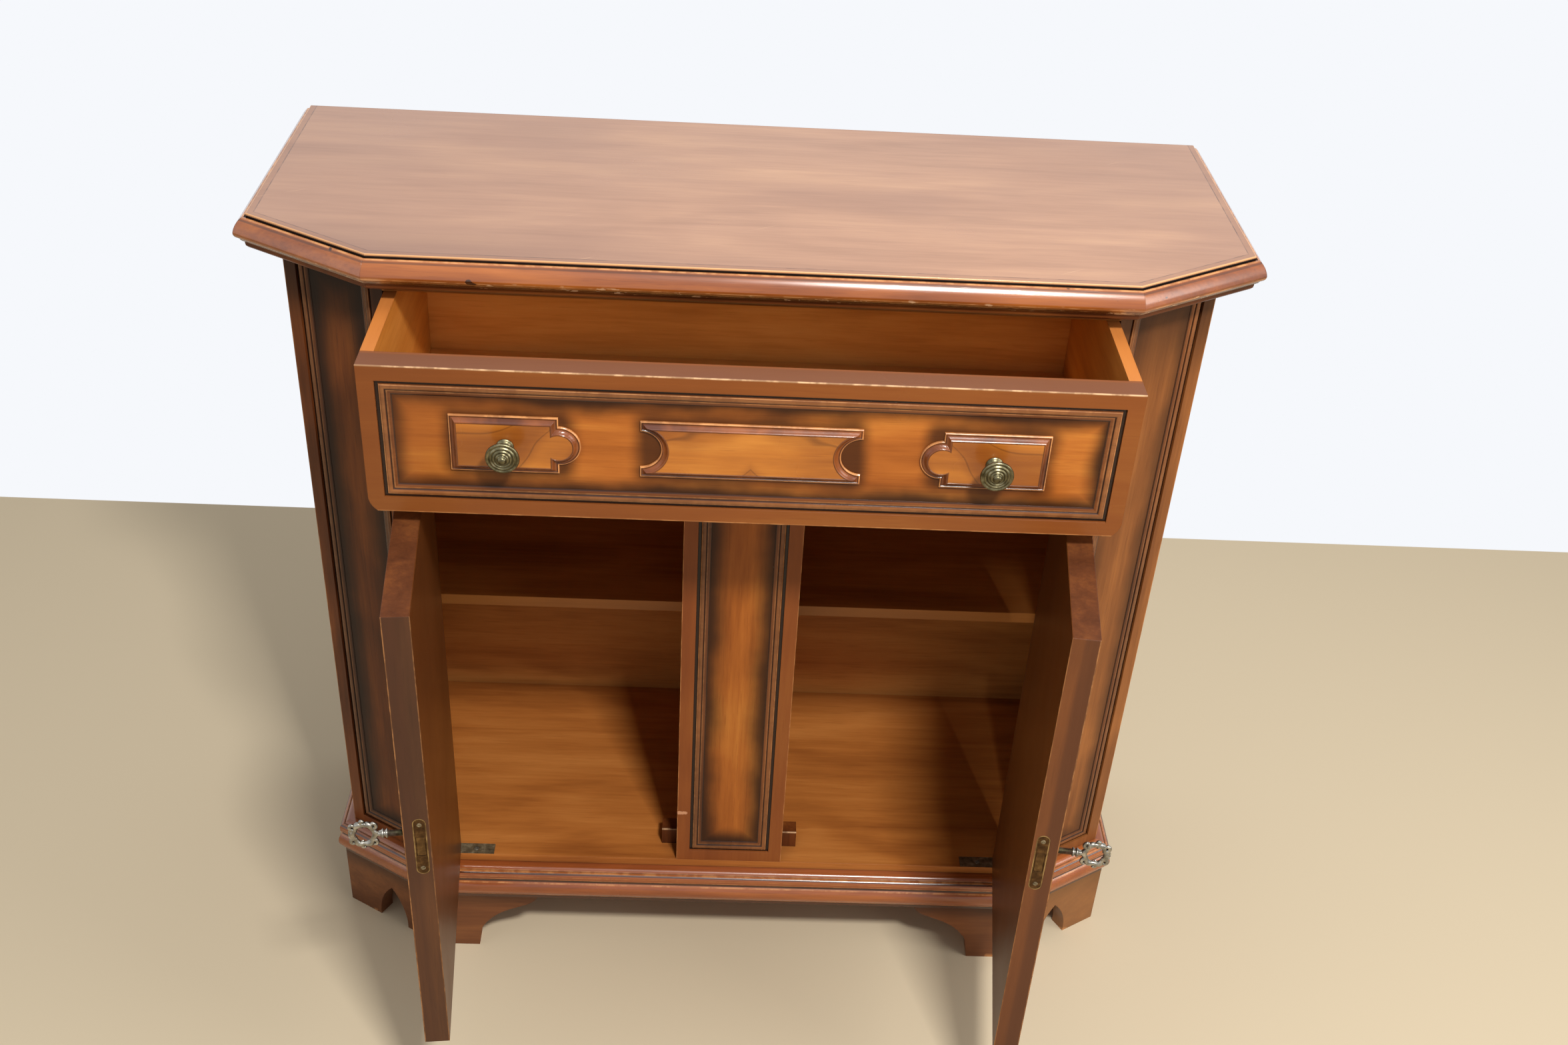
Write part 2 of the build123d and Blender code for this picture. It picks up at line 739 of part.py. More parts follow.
# Right-hand door, drawn shut; the left-hand door is its mirror image
door_face = face_plane((door_free_x, front_y), (door_hinge_x, front_y))
door_rect = (door_frame_border, door_hinge_x - door_free_x - door_frame_border,
             door_bottom + door_frame_border, door_top - door_frame_border)
door = block(door_free_x, door_hinge_x, front_y, front_y + door_thickness, door_bottom, door_top)
door = door - pocket(door_face, *door_rect) - door_low_leaf - door_high_leaf

# Mortise lock with a round-ended plate on the free edge of the door
edge_plane = Plane(origin=(door_free_x, lock_y, lock_height), x_dir=(0, 1, 0), z_dir=(1, 0, 0))
plate = extrude(edge_plane * SlotOverall(forend_length, forend_width, rotation=90),
                amount=forend_thickness)
case_x = door_free_x + forend_thickness
case = block(case_x, case_x + case_depth, lock_y - case_thickness / 2, lock_y + case_thickness / 2,
             lock_height - case_height / 2, lock_height + case_height / 2)
lock = plate + case
bolt_x = door_free_x + bolt_clearance
bolt = block(bolt_x, bolt_x + bolt_length, lock_y - bolt_thickness / 2,
             lock_y + bolt_thickness / 2, lock_height - bolt_height / 2,
             lock_height + bolt_height / 2)
slot = block(door_free_x, bolt_x + bolt_length + bolt_clearance,
             lock_y - bolt_thickness / 2 - bolt_clearance,
             lock_y + bolt_thickness / 2 + bolt_clearance,
             lock_height - bolt_height / 2 - bolt_clearance,
             lock_height + bolt_height / 2 + bolt_clearance)
key_hole_r = key_shank_diameter / 2 + key_hole_clearance
key_end_y = lock_y + bolt_thickness / 2
key_axis = Plane(origin=(key_x, key_end_y, lock_height), x_dir=(1, 0, 0), z_dir=(0, -1, 0))
hole_length = key_end_y - front_y + escutcheon_thickness
key_hole = key_axis * Cylinder(key_hole_r, hole_length + key_tip_gap,
                               align=(Align.CENTER, Align.CENTER, Align.MIN))
door = door - lock - key_hole
lock = lock - slot - key_hole
escutcheon_plane = Plane(origin=(key_x, front_y, lock_height), x_dir=(1, 0, 0), z_dir=(0, -1, 0))
escutcheon = extrude(escutcheon_plane * Ellipse(escutcheon_width / 2, escutcheon_height / 2),
                     amount=escutcheon_thickness) - key_hole

# Key: a round shank with a collar and an open bow
key_start = key_tip_gap
bow_start = key_projection - bow_length
tip_to_face = key_end_y - front_y
shank_length = tip_to_face + bow_start + bow_band / 2 - key_start
shank = Pos(0, 0, key_start) * Cylinder(key_shank_diameter / 2, shank_length,
                                        align=(Align.CENTER, Align.CENTER, Align.MIN))
collar_z = tip_to_face + bow_start - 2 * key_collar_length
collar = Pos(0, 0, collar_z) * Cylinder(key_collar_diameter / 2, key_collar_length,
                                        align=(Align.CENTER, Align.CENTER, Align.MIN))
bow_plane = Plane(origin=(bow_thickness / 2, 0, tip_to_face + bow_start + bow_length / 2),
                  x_dir=(0, 0, 1), z_dir=(-1, 0, 0))
bow_face = Ellipse(bow_length / 2, bow_height / 2)
bow_face = bow_face - Ellipse(bow_length / 2 - bow_band, bow_height / 2 - bow_band)
bow = extrude(bow_plane * bow_face, amount=bow_thickness)
key = key_axis * (shank + collar + bow)

door_pieces = {
    "door_panel": door,
    "door_frame": frame_ring(door_face, *door_rect),
    "hinge_leaves": Compound([door_low_leaf, door_high_leaf]),
    "lock_case": lock,
    "lock_bolt": bolt,
    "escutcheon": escutcheon,
    "key": key,
}


def swing(shape, angle):
    """Turn a right-hand door piece about the right-hand pivot."""
    return Pos(pivot_x, pivot_y, 0) * Rot(0, 0, angle) * Pos(-pivot_x, -pivot_y, 0) * shape


for name, piece in door_pieces.items():
    nodes[name + "_right"] = swing(piece, right_door_angle)
    nodes[name + "_left"] = flip(swing(piece, left_door_angle))

for name, shape in nodes.items():
    export_step(shape, "parts/" + name + ".step")

print(len(nodes), "nodes")
print("pivots", pivot_x, pivot_y, "doors", door_bottom, door_top)
print("lock", lock_y, key_x, bolt_x, "drawer", drawer_bottom_z, drawer_top, "dust", dust_bottom)
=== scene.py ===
import bmesh
import bpy
import json
import math
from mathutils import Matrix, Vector


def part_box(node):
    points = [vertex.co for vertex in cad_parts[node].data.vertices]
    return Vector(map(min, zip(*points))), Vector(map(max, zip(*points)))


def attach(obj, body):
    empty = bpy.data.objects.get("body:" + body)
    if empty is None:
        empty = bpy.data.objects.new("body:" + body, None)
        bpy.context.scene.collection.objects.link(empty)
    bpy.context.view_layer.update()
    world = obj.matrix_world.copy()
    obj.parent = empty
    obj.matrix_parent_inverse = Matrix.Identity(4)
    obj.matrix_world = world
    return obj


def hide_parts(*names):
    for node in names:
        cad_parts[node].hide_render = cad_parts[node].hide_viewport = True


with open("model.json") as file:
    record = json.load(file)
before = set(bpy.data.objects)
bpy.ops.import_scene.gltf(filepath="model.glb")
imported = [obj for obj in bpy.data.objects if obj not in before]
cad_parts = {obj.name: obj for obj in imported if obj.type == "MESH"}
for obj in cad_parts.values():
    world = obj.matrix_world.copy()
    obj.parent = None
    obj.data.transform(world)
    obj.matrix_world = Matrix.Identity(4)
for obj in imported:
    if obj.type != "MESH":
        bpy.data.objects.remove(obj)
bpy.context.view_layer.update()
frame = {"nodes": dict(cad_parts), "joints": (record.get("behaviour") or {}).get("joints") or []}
nodes = frame["nodes"]
MM = 0.001

# Sizes taken from the frame

low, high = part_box("top_panel")
TOP_Z = high[2]
FLAT_X = high[0]
FLAT_FRONT = low[1]
FLAT_BACK = high[1]
low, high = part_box("cant_post_right")
CORNER_X = low[0]
SIDE_X = high[0]
FRONT_Y = low[1]
CANT_ANGLE = math.radians(31)
CANT_U = (math.cos(CANT_ANGLE), math.sin(CANT_ANGLE), 0)
CANT_N = (math.sin(CANT_ANGLE), -math.cos(CANT_ANGLE), 0)
CANT_LENGTH = (SIDE_X - CORNER_X) / math.cos(CANT_ANGLE)
JOINTS = {j["name"]: j for j in frame["joints"]}
BORDER = 15 * MM
FRAME_WIDTH = 14 * MM

# Places on a door, measured from its pivot along its width and through its thickness

DOOR_REACH = 271.5 * MM
DOOR_FRAME_NEAR = 25.5 * MM
DOOR_FRAME_FAR = 239.5 * MM
DOOR_FACE_OUT = 3 * MM
DOOR_BACK_IN = 22 * MM
KEY_REACH = 251.5 * MM
LOCK_PLATE_DEPTH = 12.5 * MM
LOCK_PLATE_WIDTH = 12.6 * MM
LOCK_SCREW_UP = 28 * MM
LOCK_SCREW_TURN = 0.5

# Sizes of the drawer fittings and of the hinge screws

KNOB_RADIUS = 15 * MM
KNOB_LENGTH = 26 * MM
BITE = 18.5 * MM
LOBE = 19.5 * MM
END_INNER = 150 * MM
END_MIDDLE_IN = 52 * MM
END_HALF = 50 * MM
LEAF_SCREWS_IN = (24 * MM, 44 * MM)
LEAF_SCREW_RADIUS = 2.8 * MM


def srgb(r, g, b):
    """Linear colour from 8-bit display values."""
    out = []
    for c in (r, g, b):
        c = c / 255
        out.append(c / 12.92 if c <= 0.04045 else ((c + 0.055) / 1.055) ** 2.4)
    return (*out, 1)


class Graph:
    """Wires the shader nodes of one material."""

    def __init__(self, name):
        self.mat = bpy.data.materials.new(name)
        self.mat.use_nodes = True
        self.tree = self.mat.node_tree
        self.tree.nodes.clear()
        self.out = self.tree.nodes.new("ShaderNodeOutputMaterial")
        coords = self.tree.nodes.new("ShaderNodeTexCoord")
        self.place = coords.outputs["Object"]

    def node(self, kind, **values):
        made = self.tree.nodes.new("ShaderNode" + kind)
        for key, value in values.items():
            setattr(made, key, value)
        return made

    def put(self, socket, value):
        """Links a socket, or sets a constant."""
        if isinstance(value, bpy.types.NodeSocket):
            self.tree.links.new(value, socket)
        elif value is not None:
            socket.default_value = value

    def math(self, op, a, b=None, c=None):
        made = self.node("Math", operation=op)
        for socket, value in zip(made.inputs, (a, b, c)):
            self.put(socket, value)
        return made.outputs[0]

    def vector(self, op, a, b=None):
        made = self.node("VectorMath", operation=op)
        self.put(made.inputs[0], a)
        self.put(made.inputs[1], b)
        return made.outputs["Value"] if op in ("DOT_PRODUCT", "LENGTH") else made.outputs[0]

    def mapped(self, turn=0.0, scale=(1, 1, 1), shift=(0, 0, 0)):
        """Object coordinates turned about Z, then stretched."""
        turned = self.node("Mapping")
        self.put(turned.inputs["Vector"], self.place)
        turned.inputs["Rotation"].default_value = (0, 0, -turn)
        scaled = self.node("Mapping")
        self.put(scaled.inputs["Vector"], turned.outputs[0])
        scaled.inputs["Scale"].default_value = scale
        scaled.inputs["Location"].default_value = shift
        return scaled.outputs[0]

    def noise(self, vector, scale, detail=3.0, rough=0.5, bend=0.0):
        made = self.node("TexNoise")
        self.put(made.inputs["Vector"], vector)
        made.inputs["Scale"].default_value = scale
        made.inputs["Detail"].default_value = detail
        made.inputs["Roughness"].default_value = rough
        made.inputs["Distortion"].default_value = bend
        return made.outputs["Fac"]

    def smooth(self, value, lo, hi, out_lo=0.0, out_hi=1.0):
        made = self.node("MapRange", interpolation_type="SMOOTHSTEP", clamp=True)
        self.put(made.inputs["Value"], value)
        made.inputs["From Min"].default_value = lo
        made.inputs["From Max"].default_value = hi
        made.inputs["To Min"].default_value = out_lo
        made.inputs["To Max"].default_value = out_hi
        return made.outputs[0]

    def mix(self, fac, a, b):
        made = self.node("Mix", data_type="RGBA", clamp_factor=True)
        self.put(made.inputs["Factor"], fac)
        self.put(made.inputs[6], a)
        self.put(made.inputs[7], b)
        return made.outputs[2]

    def ramp(self, fac, stops):
        made = self.node("ValToRGB")
        band = made.color_ramp
        band.elements[0].position, band.elements[0].color = stops[0]
        band.elements[1].position, band.elements[1].color = stops[-1]
        for position, colour in stops[1:-1]:
            band.elements.new(position).color = colour
        self.put(made.inputs["Fac"], fac)
        return made.outputs["Color"]

    def along(self, origin, direction):
        """Distance of the surface point from origin along a direction."""
        start = sum(o * d for o, d in zip(origin, direction))
        return self.math("SUBTRACT", self.vector("DOT_PRODUCT", self.place, direction), start)

    def inside(self, u, v, rect):
        """Distance inwards from the nearest side of a rectangle."""
        u0, u1, v0, v1 = rect
        du = self.math("MINIMUM", self.math("SUBTRACT", u, u0), self.math("SUBTRACT", u1, u))
        dv = self.math("MINIMUM", self.math("SUBTRACT", v, v0), self.math("SUBTRACT", v1, v))
        return self.math("MINIMUM", du, dv)


def finish_surface(g, colour, rough, coat, height, bump, edge, metallic=0.0, gloss=0.3):
    """Principled surface whose edges catch the light as softly rounded ones."""
    shader = g.node("BsdfPrincipled")
    g.put(shader.inputs["Base Color"], colour)
    g.put(shader.inputs["Roughness"], rough)
    shader.inputs["Metallic"].default_value = metallic
    shader.inputs["Specular IOR Level"].default_value = gloss
    shader.inputs["Coat Weight"].default_value = coat
    shader.inputs["Coat Roughness"].default_value = 0.14
    soft = g.node("Bevel", samples=4)
    soft.inputs["Radius"].default_value = edge * MM
    relief = g.node("Bump")
    relief.inputs["Strength"].default_value = bump
    relief.inputs["Distance"].default_value = MM
    g.put(relief.inputs["Height"], height)
    g.put(relief.inputs["Normal"], soft.outputs[0])
    g.put(shader.inputs["Normal"], relief.outputs[0])
    g.put(g.out.inputs["Surface"], shader.outputs[0])
    return g.mat


GRAIN = {"x": (1.0, 16.0, 16.0), "y": (16.0, 1.0, 16.0), "z": (16.0, 16.0, 1.0)}
# Pale rubbed tint for wear, also used for painted highlights on beads, edges and corners
WEAR_AND_HIGHLIGHT = srgb(214, 150, 92)
PALE = srgb(232, 190, 146)
# Near-black brown for glaze, also used for painted shade in hollows, quirks, grooves and under overhangs
GLAZE_AND_SHADE = srgb(24, 15, 12)


def wood(name, dark, mid, light, grain="x", shift=(0, 0, 0), figure=0.6, streaks=0.45,
         rough=0.36, coat=0.03, cavity=0.0, reach=6.0, shade=None, edge=0.9, pores=0.3, gloss=0.18):
    """Lacquered wood: long streaks, pores, cloudy figure, and dark glaze with painted shade in the hollows.
    """
    g = Graph(name)
    way = GRAIN[grain]
    streak = g.noise(g.mapped(0.0, way, shift), 3.2, 5.0, 0.58, 0.6)
    fine = g.noise(g.mapped(0.0, tuple(s * 7 for s in way), shift), 2.6, 3.0, 0.6)
    patch = g.noise(g.mapped(0.0, tuple(1 + 0.16 * s for s in way), shift), 3.4, 2.0, 0.5, 0.8)
    tone = g.math("MULTIPLY_ADD", streak, streaks, 0.4 * (1 - streaks - figure) + 0.06)
    tone = g.math("MULTIPLY_ADD", fine, 0.2, tone)
    tone = g.math("MULTIPLY_ADD", patch, figure, tone)
    centre = 0.5 * streaks + 0.1 + 0.5 * figure + 0.4 * (1 - streaks - figure) + 0.06
    tone = g.math("SUBTRACT", tone, centre - 0.5)
    colour = g.ramp(tone, [(0.24, dark), (0.5, mid), (0.76, light)])
    pore = g.noise(g.mapped(0.0, tuple(s * 14 if s > 1 else 9 for s in way), shift), 3.0, 2.0)
    pore = g.smooth(pore, 0.58, 0.74)
    colour = g.mix(g.math("MULTIPLY", pore, pores), colour, dark)
    if shade is not None:
        colour = shade(g, colour)
    if cavity:
        # Darkening in hollows and corners found by ambient occlusion: partly glaze, partly painted shade
        hollow = g.node("AmbientOcclusion", samples=8)
        hollow.inputs["Distance"].default_value = reach * MM
        open_part = g.smooth(hollow.outputs["AO"], 0.25, 0.95)
        glaze_and_hollow_shade = g.math("MULTIPLY", g.math("SUBTRACT", 1.0, open_part), cavity)
        colour = g.mix(glaze_and_hollow_shade, colour, GLAZE_AND_SHADE)
    sheen = g.math("MULTIPLY_ADD", g.noise(g.place, 9.0, 3.0), 0.16, rough - 0.08)
    height = g.math("MULTIPLY_ADD", pore, -0.25, g.math("MULTIPLY", streak, 0.12))
    return finish_surface(g, colour, sheen, coat, height, 0.12, edge, gloss=gloss)


# Colours of the finishes

# The top's colours are paler than its wood: partly painted reflection standing in for the sheen of the
# lacquer
TOP_AND_SHEEN = (srgb(146, 104, 78), srgb(176, 131, 102), srgb(200, 154, 118))
CHESTNUT = (srgb(84, 38, 14), srgb(138, 72, 26), srgb(180, 104, 42))
BROWN = (srgb(58, 28, 13), srgb(104, 54, 24), srgb(146, 82, 34))
BASE = (srgb(92, 42, 18), srgb(146, 76, 34), srgb(184, 106, 50))
DOOR = (srgb(60, 31, 18), srgb(94, 53, 30), srgb(132, 78, 40))
FOOT = (srgb(70, 38, 22), srgb(110, 65, 38), srgb(146, 92, 52))
GOLDEN = (srgb(122, 60, 18), srgb(170, 97, 37), srgb(204, 132, 56))
# Lighter amber for the right cant only: painted light
LIT_AMBER = (srgb(92, 48, 20), srgb(130, 78, 38), srgb(166, 104, 52))
INSIDE = (srgb(130, 70, 28), srgb(176, 107, 48), srgb(202, 132, 66))
DRAWER = (srgb(148, 84, 28), srgb(190, 118, 46), srgb(214, 144, 68))
PALE_BOARD = (srgb(180, 116, 54), srgb(222, 158, 84), srgb(238, 180, 106))
BACK = (srgb(150, 88, 40), srgb(200, 134, 68), srgb(222, 158, 86))
FRAME = (srgb(66, 34, 18), srgb(104, 58, 29), srgb(140, 82, 41))
BURR = (srgb(132, 70, 24), srgb(180, 108, 38), srgb(208, 138, 58))


def across(g):
    """X of the surface point."""
    return g.along((0, 0, 0), (1, 0, 0))


def backward(g):
    """Y of the surface point."""
    return g.along((0, 0, 0), (0, 1, 0))


def upward(g):
    """Z of the surface point."""
    return g.along((0, 0, 0), (0, 0, 1))


def folded_plan(g):
    """X and Y of the surface point, with the left half folded onto the right."""
    plan = g.node("CombineXYZ")
    g.put(plan.inputs[0], g.math("ABSOLUTE", across(g)))
    g.put(plan.inputs[1], backward(g))
    return plan.outputs[0]


def broken(g, scale=70.0, low=0.4, high=0.62):
    """Uneven strength along an edge, between 0 and 1."""
    return g.smooth(g.noise(g.place, scale, 3.0, 0.6), low, high)


def waver(g, scale, reach):
    """Uneven shift of a distance, up to half the reach either way."""
    return g.math("MULTIPLY_ADD", g.noise(g.place, scale), reach, -reach / 2)


def band(g, value, middle, half, soft):
    """1 within half of the middle, fading over soft."""
    far = g.math("ABSOLUTE", g.math("SUBTRACT", value, middle))
    return g.smooth(far, half + soft, half)


def line(g, colour, value, middle, half, tint, strength, soft=0.4 * MM):
    """Thin line of another tint where a value has one size."""
    mask = g.math("MULTIPLY", band(g, value, middle, half, soft), strength)
    return g.mix(mask, colour, tint)


def uneven(g, strength, least=0.35):
    """Strength that varies along the surface, never less than its least share."""
    return g.math("MULTIPLY_ADD", broken(g), strength * (1 - least), strength * least)


def arris(g, colour, first, second, half, strength, tint=None):
    """Rubbed edge where two distances are both near zero."""
    far = g.math("MAXIMUM", g.math("ABSOLUTE", first), g.math("ABSOLUTE", second))
    mask = g.math("MULTIPLY", g.smooth(far, half * 1.5, half * 0.5), uneven(g, strength))
    return g.mix(mask, colour, tint or WEAR_AND_HIGHLIGHT)


def ring_lines(g, colour, near, strength=1.0):
    """Quirk, bead, groove and inner edge of a framing moulding, by distance from its outside."""
    # The dark lines in the quirk, the groove and at the inner edge are partly glaze and partly painted
    # shade; the pale lines on the beads are partly wear and partly painted highlight
    colour = line(g, colour, near, 1.4 * MM, 1.5 * MM, GLAZE_AND_SHADE, 0.92)
    colour = line(g, colour, near, 4.0 * MM, 0.3 * MM, WEAR_AND_HIGHLIGHT, uneven(g, 0.42 * strength, 0.5))
    colour = line(g, colour, near, 6.4 * MM, 1.2 * MM, WEAR_AND_HIGHLIGHT, uneven(g, 0.16 * strength, 0.6))
    colour = line(g, colour, near, 8.8 * MM, 0.4 * MM, GLAZE_AND_SHADE, 0.8)
    colour = line(g, colour, near, 10.0 * MM, 0.4 * MM, WEAR_AND_HIGHLIGHT, uneven(g, 0.2 * strength, 0.4))
    return line(g, colour, near, 14.0 * MM, 0.8 * MM, GLAZE_AND_SHADE, 0.75, 0.8 * MM)


def top_shade(g, colour):
    """Cloudy darker places, painted shade towards the left and at the front-left corner, the inner line of
    the border, the pale rubbed rim of the flat top and painted shade in the quirk below it.
    """
    front = g.along((0, FLAT_FRONT, 0), (0, 1, 0))
    side = g.math("SUBTRACT", FLAT_X, g.math("ABSOLUTE", across(g)))
    overhang = FRONT_Y - FLAT_FRONT
    reach = CORNER_X * CANT_N[0] + FRONT_Y * CANT_N[1] + overhang
    cant = g.math("SUBTRACT", reach, g.vector("DOT_PRODUCT", folded_plan(g), CANT_N))
    near = g.math("MINIMUM", g.math("MINIMUM", front, side), cant)
    cloud = g.noise(g.mapped(0.0, (1.0, 2.6, 1.0), (3.1, 0.7, 0)), 3.0, 2.0, 0.5, 0.3)
    dull = g.math("MULTIPLY", g.smooth(cloud, 0.46, 0.66), 0.36)
    colour = g.mix(dull, colour, srgb(144, 103, 82))
    # Painted shade: the top darker towards the left and at the front-left corner
    left = g.smooth(across(g), 100 * MM, -420 * MM)
    colour = g.mix(g.math("MULTIPLY", left, 0.28), colour, srgb(134, 94, 76))
    corner = g.math("MULTIPLY", g.smooth(front, 90 * MM, 5 * MM), left)
    colour = g.mix(g.math("MULTIPLY", corner, 0.5), colour, srgb(118, 82, 64))
    strip = g.smooth(near, 6.6 * MM, 6.2 * MM)
    colour = g.mix(g.math("MULTIPLY", strip, 0.3), colour, srgb(132, 82, 50))
    colour = line(g, colour, near, 6.8 * MM, 0.3 * MM, srgb(60, 34, 24), uneven(g, 0.7, 0.5))
    rim = g.smooth(near, 1.1 * MM, 0.7 * MM)
    upper = g.smooth(g.along((0, 0, TOP_Z - 2 * MM), (0, 0, 1)), 0.0, 1.2 * MM)
    colour = g.mix(g.math("MULTIPLY", g.math("MULTIPLY", rim, upper), 0.8), colour, srgb(222, 166, 110))
    scratch = g.noise(g.mapped(0.5, (3, 120, 3)), 3.0, 2.0, 0.5, 0.4)
    few = g.math("MULTIPLY", g.smooth(scratch, 0.72, 0.76), g.smooth(g.noise(g.place, 7.0), 0.56, 0.62))
    colour = g.mix(g.math("MULTIPLY", few, 0.5), colour, PALE)
    # Painted shade: the edge below the rim, in the quirk, made near-black
    lower = g.smooth(g.along((0, 0, TOP_Z - 2.2 * MM), (0, 0, 1)), 0.6 * MM, 0.0)
    back = g.smooth(g.along((0, FLAT_BACK, 0), (0, 1, 0)), -1.5 * MM, -0.8 * MM)
    colour = g.mix(g.math("MULTIPLY", back, 0.6), colour, srgb(120, 78, 52))
    return g.mix(g.math("MULTIPLY", lower, g.math("SUBTRACT", 1.0, back)), colour, GLAZE_AND_SHADE)


def edge_moulding_shade(g, colour):
    """Painted shade on the lower part of the roll and in the quirk, pale fillet under the quirk, and nicks,
    rubbed places and a painted highlight near the cant corners on the lower lip of the top.
    """
    z = g.along((0, 0, TOP_Z), (0, 0, 1))
    # Painted shade: the lower part of the roll darkened, as it faces down
    colour = g.mix(g.smooth(z, -20.5 * MM, -23 * MM, 0.0, 0.5), colour, GLAZE_AND_SHADE)
    colour = line(g, colour, z, -3.5 * MM, 0.35 * MM, WEAR_AND_HIGHLIGHT, uneven(g, 0.8))
    # Painted shade in the quirk
    colour = line(g, colour, z, -5.3 * MM, 0.5 * MM, GLAZE_AND_SHADE, 0.5)
    colour = line(g, colour, z, -19.6 * MM, 0.5 * MM, WEAR_AND_HIGHLIGHT, uneven(g, 0.6, 0.3))
    colour = line(g, colour, z, -23.5 * MM, 0.7 * MM, WEAR_AND_HIGHLIGHT, uneven(g, 0.7, 0.15))
    low_lip = g.smooth(z, -17 * MM, -21 * MM)
    chips = g.smooth(g.noise(g.mapped(0.0, (1.0, 1.0, 2.5)), 55.0, 3.0, 0.6), 0.63, 0.66)
    colour = g.mix(g.math("MULTIPLY", g.math("MULTIPLY", chips, low_lip), 0.9), colour, PALE)
    # Painted highlight: a pale patch on the lower lip near each cant corner, standing in for a gloss
    # reflection
    bend = g.math("SUBTRACT", g.math("ABSOLUTE", across(g)), CORNER_X + 6 * MM)
    corner = g.math("MULTIPLY", g.smooth(g.math("ABSOLUTE", bend), 22 * MM, 4 * MM), low_lip)
    colour = g.mix(g.math("MULTIPLY", corner, uneven(g, 0.6, 0.1)), colour, WEAR_AND_HIGHLIGHT)
    dents = g.smooth(g.noise(g.mapped(0.0, (1.0, 1.0, 1.6), (4, 2, 1)), 40.0, 2.0), 0.72, 0.74)
    return g.mix(g.math("MULTIPLY", dents, 0.85), colour, GLAZE_AND_SHADE)


def base_moulding_shade(g, colour):
    """Pale lines on the beads of the base moulding, partly rubbed wear and partly painted highlight, and
    dark lines in its grooves, partly glaze and partly painted shade, by height.
    """
    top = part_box("base_moulding_front")[1][2]
    z = g.along((0, 0, top), (0, 0, 1))
    for middle, half, strength in ((-3.6, 0.5, 0.55), (-8.6, 0.5, 0.3), (-13.0, 0.5, 0.6),
                                   (-19.3, 0.5, 0.6), (-39.2, 0.5, 0.45)):
        colour = line(g, colour, z, middle * MM, half * MM, WEAR_AND_HIGHLIGHT, uneven(g, strength, 0.25))
    for middle, half in ((-4.9, 0.5), (-16.4, 1.6), (-43.5, 2.4)):
        colour = line(g, colour, z, middle * MM, half * MM, GLAZE_AND_SHADE, 0.8)
    return colour


def foot_shade(g, colour):
    """Feet with painted shade under the moulding, rubbed pale at the floor, and painted light past the
    right corner.
    """
    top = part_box("feet_front")[1][2]
    z = upward(g)
    # Painted shade under the overhang of the base moulding
    shade = g.smooth(z, top - 26 * MM, top, 0.0, 0.55)
    colour = g.mix(shade, colour, GLAZE_AND_SHADE)
    # Painted light: the feet past the right corner made paler, as if lit from the right
    right = g.smooth(across(g), CORNER_X, CORNER_X + 30 * MM)
    colour = g.mix(g.math("MULTIPLY", right, 0.35), colour, srgb(172, 118, 62))
    scuffs = g.math("MULTIPLY", g.smooth(z, 7 * MM, 1 * MM), broken(g, 60.0, 0.5, 0.6))
    return g.mix(g.math("MULTIPLY", scuffs, 0.5), colour, WEAR_AND_HIGHLIGHT)


def shaded_field(u_of, rect, width, strength=0.92, tint=None, deep=None):
    """Field that darkens towards the frame around it, in a soft uneven band."""
    tint = tint or srgb(38, 18, 9)

    def shade(g, colour):
        near = g.inside(u_of(g), upward(g), rect)
        ragged = g.math("ADD", near, waver(g, 14.0, 22 * MM))
        dim = g.smooth(ragged, -2 * MM, width, strength, 0.0)
        inner = g.math("GREATER_THAN", near, 0.0)
        if deep is not None:
            skin = g.smooth(deep(g), 1.2 * MM, 1.8 * MM)
            inner = g.math("MULTIPLY", inner, skin)
        return g.mix(g.math("MULTIPLY", dim, inner), colour, tint)
    return shade


def front_rect(node):
    """Node box as a rectangle in X and Z."""
    lo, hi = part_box(node)
    return lo[0], hi[0], lo[2], hi[2]


def inset(rect, by):
    """Rectangle drawn in on all sides."""
    return rect[0] + by, rect[1] - by, rect[2] + by, rect[3] - by


def border_tint(g, colour, rect, tint, strength):
    """Another tint outside a framed rectangle."""
    outside = g.smooth(g.inside(across(g), upward(g), rect), 1 * MM, 0.0)
    return g.mix(g.math("MULTIPLY", outside, strength), colour, tint)


